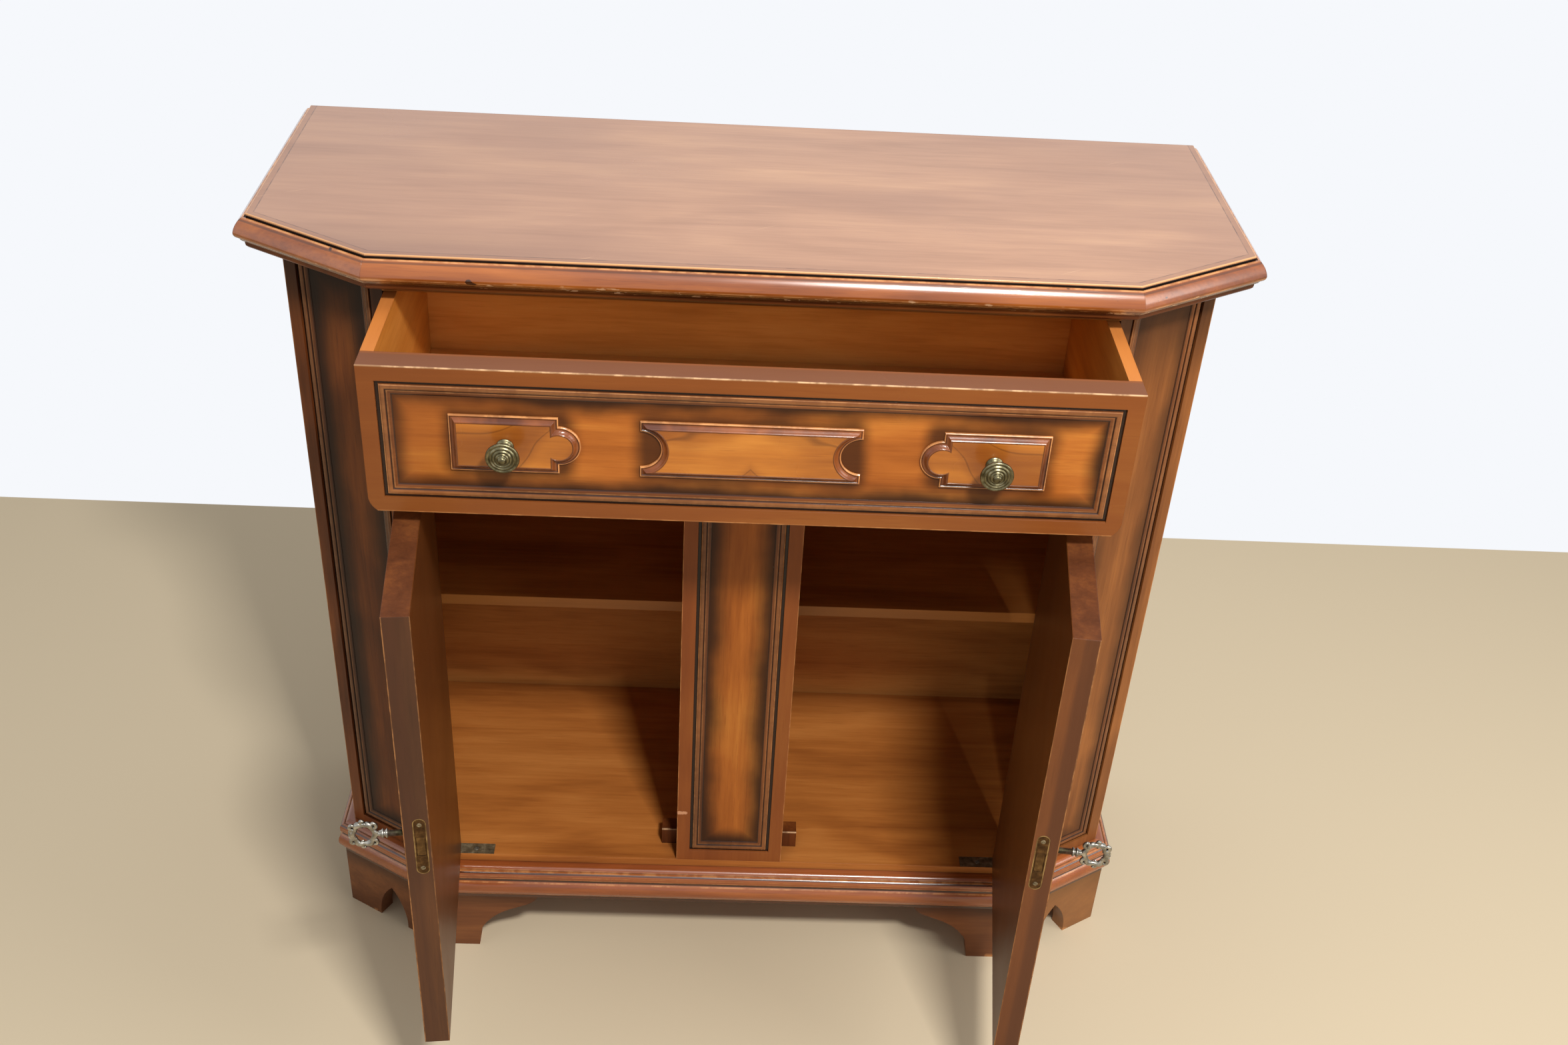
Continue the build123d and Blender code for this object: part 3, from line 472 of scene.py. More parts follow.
def drawer_shade(g, colour):
    """Browner border, dark band inside the frame and a halo round each applique."""
    rect = front_rect("drawer_front_frame")
    colour = border_tint(g, colour, rect, srgb(116, 64, 30), 0.8)
    colour = shaded_field(across, inset(rect, FRAME_WIDTH), 18 * MM, 0.95)(g, colour)
    left = g.smooth(across(g), -200 * MM, -310 * MM, 0.0, 0.3)
    colour = g.mix(left, colour, srgb(112, 62, 30))
    z = upward(g)
    ragged = waver(g, 20.0, 14 * MM)
    low_c, high_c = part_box("drawer_applique_centre")
    high_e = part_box("drawer_appliques_end")[1]
    mid = (low_c[2] + high_c[2]) / 2
    half = (high_c[2] - low_c[2]) / 2
    spans = [(0.0, high_c[0] - 4 * MM), (high_e[0] - END_MIDDLE_IN, END_HALF)]
    for centre, reach in spans:
        off = g.math("ABSOLUTE", g.math("SUBTRACT", g.math("ABSOLUTE", across(g)), centre))
        du = g.math("MAXIMUM", g.math("SUBTRACT", off, reach - 6 * MM), 0.0)
        up = g.math("SUBTRACT", g.math("ABSOLUTE", g.math("SUBTRACT", z, mid)), half - 6 * MM)
        dv = g.math("MAXIMUM", up, 0.0)
        round_off = g.math("SQRT", g.math("ADD", g.math("MULTIPLY", du, du), g.math("MULTIPLY", dv, dv)))
        halo = g.smooth(g.math("ADD", round_off, ragged), 5 * MM, 23 * MM, 0.85, 0.0)
        colour = g.mix(halo, colour, srgb(50, 22, 9))
    lo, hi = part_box("drawer_front")
    face = g.along((0, lo[1], 0), (0, 1, 0))
    crown = g.along((0, 0, hi[2]), (0, 0, 1))
    flat = g.math("MULTIPLY", g.smooth(crown, -1.2 * MM, -0.5 * MM), 0.7)
    colour = g.mix(flat, colour, srgb(108, 66, 42))
    colour = arris(g, colour, face, crown, 1.0 * MM, 0.9, PALE)
    sole = g.along((0, 0, lo[2]), (0, 0, 1))
    colour = arris(g, colour, face, sole, 0.9 * MM, 0.6)
    inner = g.smooth(face, 20 * MM, 24 * MM)
    return g.mix(g.math("MULTIPLY", inner, 0.4), colour, srgb(150, 82, 28))


def drawer_side_shade(g, colour):
    """Warmer stained top edge of the drawer sides."""
    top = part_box("drawer_side_left")[1][2]
    crown = g.smooth(g.along((0, 0, top), (0, 0, 1)), -0.8 * MM, -0.3 * MM)
    return g.mix(g.math("MULTIPLY", crown, 0.7), colour, srgb(190, 116, 60))


# Old nick on the column: in from its left edge, and its height

NICK_IN = 5 * MM
NICK_Z = 215 * MM


def column_shade(g, colour):
    """Dark sides round a bright streak, rubbed outer edges and one old nick."""
    rect = front_rect("column_frame")
    colour = border_tint(g, colour, rect, srgb(118, 62, 32), 0.7)
    colour = shaded_field(across, inset(rect, FRAME_WIDTH), 26 * MM, 0.93)(g, colour)
    lo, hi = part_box("centre_column")
    for edge, way in ((lo[0], 1), (hi[0], -1)):
        side = g.math("MULTIPLY", g.along((edge, 0, 0), (1, 0, 0)), way)
        colour = arris(g, colour, side, g.along((0, lo[1], 0), (0, 1, 0)), 0.7 * MM, 0.6)
    spot = g.node("VectorMath", operation="SUBTRACT")
    g.put(spot.inputs[0], g.place)
    spot.inputs[1].default_value = (lo[0] + NICK_IN, lo[1], NICK_Z)
    far = g.vector("LENGTH", g.vector("MULTIPLY", spot.outputs[0], (0.8, 1, 1.9)))
    nick = g.smooth(g.math("ADD", far, waver(g, 240.0, 7 * MM)), 5.6 * MM, 4.2 * MM)
    return g.mix(g.math("MULTIPLY", nick, 0.8), colour, srgb(214, 158, 122))


def cant_u(side):
    """Distance along one cant from its front corner."""
    origin = (side * CORNER_X, FRONT_Y, 0)
    return lambda g: g.along(origin, (side * CANT_U[0], CANT_U[1], 0))


def cant_rect():
    """Outside of a canted frame along the cant and in Z."""
    lo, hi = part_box("cant_frames")
    return BORDER, CANT_LENGTH - BORDER, lo[2], hi[2]


def cant_shade(side, tint, strength, width):
    """Shading of the tall field of a canted post, deepest at its top."""
    def shade(g, colour):
        rect = inset(cant_rect(), FRAME_WIDTH)
        colour = shaded_field(cant_u(side), rect, width, strength, tint)(g, colour)
        head = g.smooth(upward(g), TOP_Z - 160 * MM, TOP_Z - 50 * MM, 0.0, 0.75)
        colour = g.mix(head, colour, tint)
        past = g.math("SUBTRACT", cant_u(side)(g), CANT_LENGTH)
        turned = g.math("MULTIPLY", g.smooth(past, 0.0, 0.8 * MM), 0.75)
        colour = g.mix(turned, colour, srgb(92, 48, 24))
        return arris(g, colour, past, g.along((side * SIDE_X, 0, 0), (side, 0, 0)), 0.9 * MM, 0.5)
    return shade


def cant_frame_shade(g, colour):
    """Moulding lines of both canted frames; the left one is darkened as painted shade."""
    start = CORNER_X * CANT_U[0] + FRONT_Y * CANT_U[1]
    u = g.math("SUBTRACT", g.vector("DOT_PRODUCT", folded_plan(g), CANT_U), start)
    near = g.inside(u, upward(g), cant_rect())
    # Painted shade on the left frame
    left = g.math("LESS_THAN", across(g), 0.0)
    colour = g.mix(g.math("MULTIPLY", left, 0.5), colour, srgb(52, 30, 22))
    return ring_lines(g, colour, near, 0.8)


def flat_frame_shade(node, strength=1.0):
    """Moulding lines of a frame that stands in a plane across Y."""
    def shade(g, colour):
        return ring_lines(g, colour, g.inside(across(g), upward(g), front_rect(node)), strength)
    return shade


# Doors at rest: pivot, and the unit directions of their width and of their outer face

DOORS = {}
for side_name, sign in (("left", -1), ("right", 1)):
    joint = JOINTS["door_" + side_name + "_hinge"]
    pivot = Vector(joint["pos_m"])
    shut = math.radians(-joint["range_deg"][0])
    toward = Vector((-math.cos(shut) * sign, -math.sin(shut), 0))
    outward = Vector((math.sin(shut) * sign, -math.cos(shut), 0))
    DOORS[side_name] = {"pivot": pivot, "toward": toward, "outward": outward}


def door_u(side_name):
    """Distance from the pivot along the width of a door."""
    door = DOORS[side_name]
    return lambda g: g.along(tuple(door["pivot"]), tuple(door["toward"]))


def door_rect(side_name):
    """Outside of the frame in the door's own width and Z."""
    lo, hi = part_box("door_frame_" + side_name)
    return DOOR_FRAME_NEAR, DOOR_FRAME_FAR, lo[2], hi[2]


# Free-edge tints per door: the left darker as painted shade, the right lighter as painted light
EDGE_PAINTED_LIGHT = {"left": srgb(64, 48, 36), "right": srgb(118, 70, 38)}


def door_shade(side_name):
    """Shaded field of the outer face, two-tone free edge with a rubbed line, painted lighter on the right
    door and darker on the left, and the inner face darkened as painted shade.
    """
    door = DOORS[side_name]

    def shade(g, colour):
        u = door_u(side_name)(g)
        depth = g.along(tuple(door["pivot"]), tuple(-door["outward"]))
        rect = inset(door_rect(side_name), FRAME_WIDTH)

        def skin(g):
            return g.math("SUBTRACT", 4 * MM, depth)

        colour = shaded_field(door_u(side_name), rect, 24 * MM, 0.9, None, skin)(g, colour)
        # Painted shade: the inner face of the door darkened
        back = g.smooth(depth, DOOR_BACK_IN - 1.2 * MM, DOOR_BACK_IN - 0.4 * MM)
        colour = g.mix(g.math("MULTIPLY", back, 0.8), colour, srgb(86, 46, 15))
        edge = g.smooth(u, DOOR_REACH - 0.5 * MM, DOOR_REACH - 0.1 * MM)
        outer = g.smooth(g.math("ADD", depth, waver(g, 8.0, 6 * MM)), 14 * MM, 8 * MM)
        # Painted light and shade: the free edge takes its door's tint
        colour = g.mix(g.math("MULTIPLY", edge, 0.5), colour, EDGE_PAINTED_LIGHT[side_name])
        colour = g.mix(g.math("MULTIPLY", g.math("MULTIPLY", edge, outer), 0.45), colour, srgb(70, 42, 30))
        rub = g.math("SUBTRACT", u, DOOR_REACH)
        colour = arris(g, colour, rub, g.math("ADD", depth, DOOR_FACE_OUT), 0.9 * MM, 0.5)
        return arris(g, colour, rub, g.math("SUBTRACT", depth, DOOR_BACK_IN), 0.8 * MM, 0.3)
    return shade


def door_frame_shade(side_name):
    """Moulding lines of the frame on a door."""
    def shade(g, colour):
        near = g.inside(door_u(side_name)(g), upward(g), door_rect(side_name))
        return ring_lines(g, colour, near)
    return shade


def shelf_shade(g, colour):
    """Paler rubbed front edges of the shelves."""
    front_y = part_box("shelves")[0][1]
    front = g.smooth(g.along((0, front_y, 0), (0, 1, 0)), 0.8 * MM, 0.3 * MM)
    return g.mix(g.math("MULTIPLY", front, 0.65), colour, srgb(196, 128, 66))


def back_shade(g, colour):
    """Duller bare wood on the rear face of the back board."""
    rear_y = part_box("back_panel")[1][1]
    rear = g.smooth(g.along((0, rear_y, 0), (0, 1, 0)), -1.2 * MM, -0.6 * MM)
    return g.mix(g.math("MULTIPLY", rear, 0.5), colour, srgb(150, 108, 72))


def stop_shade(g, colour):
    """Rubbed upper front edge of the door stops."""
    lo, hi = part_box("door_stops")
    crown = g.along((0, 0, hi[2]), (0, 0, 1))
    return arris(g, colour, g.along((0, lo[1], 0), (0, 1, 0)), crown, 1.2 * MM, 0.9, PALE)


def burr_shade(g, colour):
    """Moulded band and rubbed rim round a matched burr field, by distance from the outline."""
    near = g.node("Attribute", attribute_name="inset").outputs["Fac"]
    x = g.math("ABSOLUTE", across(g))
    mirrored = g.node("CombineXYZ")
    g.put(mirrored.inputs[0], x)
    g.put(mirrored.inputs[2], upward(g))
    swirl = g.node("TexWave", wave_type="BANDS", bands_direction="DIAGONAL")
    g.put(swirl.inputs["Vector"], mirrored.outputs[0])
    swirl.inputs["Scale"].default_value = 5.0
    swirl.inputs["Distortion"].default_value = 7.0
    swirl.inputs["Detail"].default_value = 2.0
    swirl.inputs["Detail Scale"].default_value = 1.2
    flame = g.smooth(swirl.outputs["Fac"], 0.0, 0.8, 0.6, 0.0)
    colour = g.mix(flame, colour, srgb(112, 54, 20))
    vein = g.math("MULTIPLY", band(g, swirl.outputs["Fac"], 0.34, 0.0, 0.05), 0.45)
    colour = g.mix(vein, colour, srgb(70, 34, 16))
    field = g.smooth(near, 6.3, 6.9)
    trim = g.ramp(g.noise(g.place, 30.0, 3.0), [(0.35, srgb(84, 40, 18)), (0.65, srgb(142, 78, 36))])
    colour = g.mix(g.math("SUBTRACT", 1.0, field), colour, trim)
    colour = line(g, colour, near, 1.7, 0.3, GLAZE_AND_SHADE, 0.55, 0.3)
    colour = line(g, colour, near, 0.35, 0.4, WEAR_AND_HIGHLIGHT, uneven(g, 0.9, 0.5), 0.3)
    return line(g, colour, near, 6.7, 0.35, srgb(66, 30, 14), 0.6, 0.3)


def lock_plate_shade(side_name):
    """Bright worn rim round the dark face of a round-ended lock plate."""
    door = DOORS[side_name]
    lo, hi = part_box("lock_case_" + side_name)
    radius = LOCK_PLATE_WIDTH / 2
    straight = (hi[2] - lo[2]) / 2 - radius

    def shade(g, colour):
        depth = g.along(tuple(door["pivot"]), tuple(-door["outward"]))
        off = g.math("SUBTRACT", depth, LOCK_PLATE_DEPTH)
        up = g.math("ABSOLUTE", g.along((0, 0, (lo[2] + hi[2]) / 2), (0, 0, 1)))
        past = g.math("MAXIMUM", g.math("SUBTRACT", up, straight), 0.0)
        squares = g.math("ADD", g.math("MULTIPLY", off, off), g.math("MULTIPLY", past, past))
        rim = g.smooth(g.math("SQRT", squares), radius - 1.2 * MM, radius - 0.7 * MM)
        return g.mix(g.math("MULTIPLY", rim, uneven(g, 0.75, 0.3)), colour, srgb(196, 168, 116))
    return shade


def brass(name, dark, mid, light, rough=0.3, cavity=0.8, reach=2.5, edge=0.35, scale=160.0,
          shade=None, metallic=1.0):
    """Metal with a dark patina in its hollows and brighter rubbed parts."""
    g = Graph(name)
    blotch = g.noise(g.place, scale, 4.0, 0.6)
    colour = g.ramp(blotch, [(0.3, dark), (0.52, mid), (0.72, light)])
    hollow = g.node("AmbientOcclusion", samples=8)
    hollow.inputs["Distance"].default_value = reach * MM
    closed = g.smooth(hollow.outputs["AO"], 0.9, 0.35)
    colour = g.mix(g.math("MULTIPLY", closed, cavity), colour, srgb(40, 34, 24))
    if shade is not None:
        colour = shade(g, colour)
    scuff = g.noise(g.mapped(0.3, (300, 40, 300)), 2.0, 3.0)
    sheen = g.math("MULTIPLY_ADD", scuff, 0.22, rough - 0.08)
    return finish_surface(g, colour, sheen, 0.0, blotch, 0.08, edge, metallic=metallic, gloss=0.5)


def dress(mat, *names):
    """Give CAD nodes a finish."""
    for name in names:
        for slot in nodes[name].material_slots:
            slot.material = mat


for part, grain in (("front", "x"), ("sides", "y"), ("cants", "x")):
    dress(wood("edge_" + part, *CHESTNUT, grain=grain, rough=0.22, coat=0.65, cavity=0.6, reach=5,
               shade=edge_moulding_shade, gloss=0.5), "top_edge_" + part)
    dress(wood("base_" + part, *BASE, grain=grain, rough=0.24, coat=0.4, cavity=0.6, reach=5,
               shade=base_moulding_shade, gloss=0.5), "base_moulding_" + part)
    dress(wood("bed_" + part, *BROWN, grain=grain, cavity=0.9, reach=12), "bed_moulding_" + part)
dress(wood("top_veneer", *TOP_AND_SHEEN, grain="x", figure=0.45, streaks=0.4, rough=0.3, coat=0.3, pores=0.25,
           shade=top_shade, edge=0.5, gloss=0.5), "top_panel")
# The left cant takes the darker brown and a deeper, wider tint, the right cant the lighter amber and a
# weaker tint: painted shade on the left, painted light on the right
dress(wood("cant_left", *BROWN, grain="z", shade=cant_shade(-1, srgb(22, 13, 11), 0.9, 34 * MM)),
      "cant_post_left")
dress(wood("cant_right", *LIT_AMBER, grain="z", shift=(2, 1, 0),
           shade=cant_shade(1, srgb(46, 25, 14), 0.6, 20 * MM)), "cant_post_right")
dress(wood("sides", *BROWN, grain="z"), "side_left", "side_right")
dress(wood("feet", *FOOT, grain="x", shade=foot_shade, gloss=0.25), "feet_front", "feet_cant",
      "feet_side", "feet_rear", "base_rear_rail")
dress(wood("cant_frame_wood", *FRAME, grain="z", rough=0.26, coat=0.2, shade=cant_frame_shade,
           edge=0.5), "cant_frames")
dress(wood("column_frame_wood", *FRAME, grain="z", rough=0.26, coat=0.2,
           shade=flat_frame_shade("column_frame"), edge=0.5), "column_frame")
dress(wood("drawer_frame_wood", *FRAME, grain="x", rough=0.24, coat=0.3,
           shade=flat_frame_shade("drawer_front_frame", 1.2), edge=0.5), "drawer_front_frame")
dress(wood("column", *GOLDEN, grain="z", shade=column_shade), "centre_column")
dress(wood("drawer_face", *GOLDEN, grain="x", rough=0.3, coat=0.1, shade=drawer_shade), "drawer_front")
for side_name in DOORS:
    dress(wood("door_" + side_name, *DOOR, grain="z", shift=(0, 0, 0.4), shade=door_shade(side_name)),
          "door_panel_" + side_name)
    dress(wood("door_frame_wood_" + side_name, *FRAME, grain="z", rough=0.26, coat=0.2,
               shade=door_frame_shade(side_name), edge=0.5), "door_frame_" + side_name)
dress(wood("inside", *INSIDE, grain="x", rough=0.4, coat=0.0, gloss=0.25, cavity=0.3, reach=26),
      "floor_board", "dust_board", "centre_partition", "shelf_battens",
      "base_front_rail", "top_rail")
dress(wood("back_board", *BACK, grain="x", rough=0.4, coat=0.0, gloss=0.25, cavity=0.3, reach=26,
           shade=back_shade), "back_panel")
dress(wood("shelf_wood", *INSIDE, grain="x", rough=0.4, coat=0.0, gloss=0.25, shade=shelf_shade), "shelves")
dress(wood("drawer_boards", *PALE_BOARD, grain="x", rough=0.4, coat=0.0), "drawer_back",
      "drawer_bottom", "drawer_kickers", "drawer_stops", "foot_blocks")
dress(wood("drawer_side_boards", *DRAWER, grain="y", rough=0.4, coat=0.0, shade=drawer_side_shade),
      "drawer_side_left", "drawer_side_right", "drawer_guides")
dress(wood("stops", *BROWN, grain="z", shade=stop_shade, cavity=0.3), "door_stops")
KNOB_BRASS = brass("aged_brass", srgb(76, 70, 50), srgb(116, 109, 82), srgb(156, 148, 118))
LOCK_BRASS = brass("lock_brass", srgb(82, 60, 38), srgb(104, 79, 50), srgb(134, 106, 68), 0.36, 0.5)
HINGE_BRASS = brass("hinge_brass", srgb(84, 72, 52), srgb(124, 110, 84), srgb(168, 156, 126), 0.36,
                    0.0, metallic=0.5)
PEWTER = brass("pewter", srgb(108, 104, 96), srgb(156, 152, 142), srgb(204, 200, 190), 0.3, 0.85, 3.0)
SCREW_STEEL = brass("screw_steel", srgb(98, 94, 84), srgb(138, 134, 120), srgb(180, 176, 160), 0.32,
                    0.4, metallic=0.5)
dress(KNOB_BRASS, "escutcheon_left", "escutcheon_right")
dress(LOCK_BRASS, "strikes")
for side_name in DOORS:
    dress(brass("lock_plate_" + side_name, srgb(62, 44, 28), srgb(88, 64, 40), srgb(122, 92, 58), 0.4,
                0.5, shade=lock_plate_shade(side_name)), "lock_case_" + side_name)
dress(HINGE_BRASS, "hinge_leaves_carcass", "hinge_leaves_left", "hinge_leaves_right")
dress(LOCK_BRASS, "lock_bolt_left", "lock_bolt_right")

# New pieces are gathered in bmesh and given to a body


def piece(name, bm, material, body, slot, *replaced):
    """Turns a bmesh into an object that rides on a body."""
    bmesh.ops.recalc_face_normals(bm, faces=bm.faces)
    mesh = bpy.data.meshes.new(name)
    bm.to_mesh(mesh)
    bm.free()
    made = bpy.data.objects.new(name, mesh)
    bpy.context.scene.collection.objects.link(made)
    mesh.materials.append(material)
    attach(made, body)
    if replaced:
        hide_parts(*replaced)


def lathe(bm, profile, base, axis, steps=64):
    """Revolves (radius, distance) points about an axis; the ends lie on the axis."""
    axis = Vector(axis).normalized()
    first = axis.orthogonal().normalized()
    second = axis.cross(first)
    rings = []
    for radius, away in profile:
        centre = Vector(base) + axis * away * MM
        if radius == 0:
            rings.append([bm.verts.new(centre)])
            continue
        ring = []
        for i in range(steps):
            t = 2 * math.pi * i / steps
            ring.append(bm.verts.new(centre + (first * math.cos(t) + second * math.sin(t)) * radius * MM))
        rings.append(ring)
    for a, b in zip(rings, rings[1:]):
        for i in range(steps):
            j = (i + 1) % steps
            corners = [a[i % len(a)], a[j % len(a)], b[j % len(b)], b[i % len(b)]]
            bm.faces.new(list(dict.fromkeys(corners))).smooth = True


def tube(bm, points, radii, normal, closed, flat=0.9, sides=10):
    """Tube through points, with a radius at each, a little flattened along the normal."""
    count = len(points)
    rings = []
    for i in range(count):
        before = points[i - 1] if closed or i else points[0]
        after = points[(i + 1) % count] if closed or i < count - 1 else points[-1]
        along = (after - before).normalized()
        side = normal.cross(along).normalized()
        ring = []
        for k in range(sides):
            t = 2 * math.pi * k / sides
            offset = side * math.cos(t) + normal * math.sin(t) * flat
            ring.append(bm.verts.new(points[i] + offset * radii[i]))
        rings.append(ring)
    spans = count if closed else count - 1
    for i in range(spans):
        a, b = rings[i], rings[(i + 1) % count]
        for k in range(sides):
            m = (k + 1) % sides
            bm.faces.new([a[k], a[m], b[m], b[k]]).smooth = True
    if not closed:
        bm.faces.new(rings[0][::-1]).smooth = True
        bm.faces.new(rings[-1]).smooth = True


# Knobs: turned brass with stepped rings, a spindle and a nut; the profile is in mm

low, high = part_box("drawer_knobs")
KNOB_X = high[0] - KNOB_RADIUS
KNOB_Z = (low[2] + high[2]) / 2
KNOB_BASE = low[1] + KNOB_LENGTH
SPINDLE = 27.5
KNOB_PROFILE = (
    (0, -SPINDLE - 5.5), (2.4, -SPINDLE - 5.3), (2.5, -SPINDLE - 5), (5.3, -SPINDLE - 5),
    (5.5, -SPINDLE - 4.6), (5.5, -SPINDLE), (2.5, -SPINDLE), (2.5, 0), (7.6, 0), (7.9, 0.5),
    (7.6, 1.2), (6.4, 1.7), (5.6, 2.4), (4.6, 3.8), (4.1, 6), (4.0, 8), (4.3, 10), (5.2, 12),
    (5.9, 12.6), (6.4, 13.2), (6.2, 13.9), (7.4, 14.6), (10.0, 15.8), (12.6, 17.0), (14.2, 17.9),
    (14.9, 18.8), (15.0, 19.7), (14.6, 20.6), (13.8, 21.1), (12.9, 20.9), (12.3, 20.3),
    (11.7, 20.4), (11.2, 21.3), (10.5, 21.8), (9.7, 21.5), (9.3, 20.9), (8.8, 21.0), (8.3, 22.0),
    (7.6, 22.5), (6.9, 22.1), (6.6, 21.6), (6.1, 21.8), (5.7, 22.7), (5.1, 23.0), (4.5, 22.7),
    (4.2, 22.7), (3.9, 23.8), (3.3, 24.9), (2.3, 25.7), (1.2, 25.95), (0, 26),
)
bm = bmesh.new()
for knob_side in (-1, 1):
    lathe(bm, KNOB_PROFILE, (knob_side * KNOB_X, KNOB_BASE, KNOB_Z), (0, -1, 0))
piece("drawer_knobs_turned", bm, KNOB_BRASS, "drawer", "aged_brass", "drawer_knobs")

# Appliques: a stepped and rounded band round a raised burr field; the steps are
# (distance from the outline, height) in mm

low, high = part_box("drawer_applique_centre")
PLATE_BACK = high[1]
PLATE_Z = (low[2] + high[2]) / 2
PLATE_HALF = (high[2] - low[2]) / 2
CENTRE_HALF = high[0]
END_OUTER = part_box("drawer_appliques_end")[1][0]
LOBE_X = END_INNER + LOBE
STEPS = ((0, 0), (0, 1.8), (0.5, 2.3), (1.4, 2.4), (1.9, 1.9), (2.6, 2.0), (3.6, 2.6), (4.6, 3.7),
         (5.4, 4.9), (6.0, 5.4), (6.6, 5.5), (7.0, 5.2), (7.4, 5.2))


def spread(a, b, count):
    """Points from a to b, without b."""
    return [(a[0] + (b[0] - a[0]) * i / count, a[1] + (b[1] - a[1]) * i / count) for i in range(count)]


def sweep(centre, radius, start, stop, count=24):
    """Arc points from one angle to another, without the last."""
    out = []
    for i in range(count):
        t = start + (stop - start) * i / count
        out.append((centre[0] + radius * math.cos(t), centre[1] + radius * math.sin(t)))
    return out


def centre_ring(by):
    """Outline of the middle applique, drawn in by a distance: a rectangle with bitten ends."""
    z, r = PLATE_HALF - by, BITE + by
    meet = min(math.sqrt(r * r - by * by), z)
    cut = max(by, math.sqrt(r * r - meet * meet))
    x = CENTRE_HALF - cut
    angle = math.atan2(meet, -cut)
    ring = spread((-x, z), (x, z), 24) + spread((x, z), (x, meet), 3)
    ring += sweep((CENTRE_HALF, 0), r, angle, 2 * math.pi - angle)
    ring += spread((x, -meet), (x, -z), 3) + spread((x, -z), (-x, -z), 24)
    ring += spread((-x, -z), (-x, -meet), 3)
    ring += sweep((-CENTRE_HALF, 0), r, math.pi + angle, 3 * math.pi - angle)
    return ring + spread((-x, meet), (-x, z), 3)


def end_ring(by):
    """Outline of the right-hand end applique: a rectangle with a lobe on its inner end."""
    x0, x1, z, r = LOBE_X + by, END_OUTER - by, PLATE_HALF - by, LOBE - by
    meet = math.sqrt(r * r - by * by)
    angle = math.atan2(meet, by)
    ring = spread((x0, z), (x1, z), 12) + spread((x1, z), (x1, -z), 6)
    ring += spread((x1, -z), (x0, -z), 12) + spread((x0, -z), (x0, -meet), 3)
    ring += sweep((LOBE_X, 0), r, -angle, -2 * math.pi + angle)
    return ring + spread((x0, meet), (x0, z), 3)


def moulded_plate(bm, ring_at, side=1):
    """Lofts the band through its steps and caps both ends."""
    mark = bm.verts.layers.float.get("inset") or bm.verts.layers.float.new("inset")
    rings = []
    for by, rise in STEPS:
        ring = []
        for x, z in ring_at(by * MM):
            vert = bm.verts.new((side * x, PLATE_BACK - rise * MM, PLATE_Z + z))
            vert[mark] = by
            ring.append(vert)
        rings.append(ring)
    count = len(rings[0])
    for a, b in zip(rings, rings[1:]):
        for i in range(count):
            j = (i + 1) % count
            bm.faces.new([a[i], a[j], b[j], b[i]])
    bm.faces.new(rings[0])
    bm.faces.new(rings[-1])
    bmesh.ops.remove_doubles(bm, verts=bm.verts, dist=0.01 * MM)


BURR_WOOD = wood("burr", *BURR, grain="x", figure=0.8, rough=0.26, coat=0.25, edge=0.3,
                 shade=burr_shade, gloss=0.35)
bm = bmesh.new()
moulded_plate(bm, centre_ring)
piece("applique_centre_moulded", bm, BURR_WOOD, "drawer", "burr_veneer", "drawer_applique_centre")
bm = bmesh.new()
for side in (-1, 1):
    moulded_plate(bm, end_ring, side)
piece("appliques_end_moulded", bm, BURR_WOOD, "drawer", "burr_veneer", "drawer_appliques_end")

# Keys: a turned shank with collars, and an open bow of scrolls; both are drawn in mm

KEY_Z = sum(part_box("key_right")[i][2] for i in (0, 1)) / 2
BOW_OUT = 38.6 * MM
SHANK = (
    (0, -18.4), (2.2, -18.4), (3.0, -17.8), (3.0, 16.0), (4.2, 16.4), (4.5, 17.2), (4.2, 18.0),
    (3.1, 18.5), (3.4, 19.6), (4.3, 20.2), (4.5, 21.0), (4.3, 21.8), (3.2, 22.4), (2.8, 24.0),
    (2.2, 26.4), (0, 27.4),
)


def scroll(centre, start, turn, large, small, count=16):
    """Points of a curl that winds inwards from a large to a small radius."""
    out = []
    for i in range(count):
        s = i / (count - 1)
        r = large + (small - large) * s
        t = start + turn * s
        out.append((centre[0] + r * math.cos(t), centre[1] + r * math.sin(t)))
    return out


def bow_parts():
    """Strokes of the bow as (points in mm, radii in mm, closed), with (away, up) from its centre."""
    ring, ring_radii = [], []
    for i in range(56):
        t = 2 * math.pi * i / 56
        wave = 1 + 0.07 * math.cos(6 * t)
        ring.append((10.2 * wave * math.cos(t), 12.6 * wave * math.sin(t)))
        ring_radii.append(2.7 + 0.5 * math.cos(6 * t))
    parts = [(ring, ring_radii, True)]
    for up in (-1, 1):
        far = scroll((9.6, 9.6 * up), -2.2 * up, 4.4 * up, 4.6, 1.2)
        near = scroll((-8.6, 11.2 * up), 5.0 * up, -4.2 * up, 4.4, 1.2)
        crest = scroll((0.4, 15.2 * up), -2.6 * up, 5.0 * up, 3.2, 0.9)
        taper = [2.3 - 0.7 * i / 15 for i in range(16)]
        parts += [(far, taper, False), (near, taper, False), (crest, taper, False)]
        parts.append(([(3.6, 12.0 * up), (2.4, 9.6 * up), (0.6, 8.0 * up)], [1.4, 1.2, 0.6], False))
        parts.append(([(9.4, 4.6 * up), (12.4, 4.2 * up), (14.2, 2.6 * up)], [1.9, 1.9, 0.8], False))
    parts.append(([(9.0, 0.0), (12.4, 0.0), (14.6, 0.0)], [2.2, 2.1, 0.9], False))
    parts.append(([(-15.0, 0.0), (-12.0, 0.0), (-9.4, 0.0)], [2.4, 2.7, 2.0], False))
    return parts


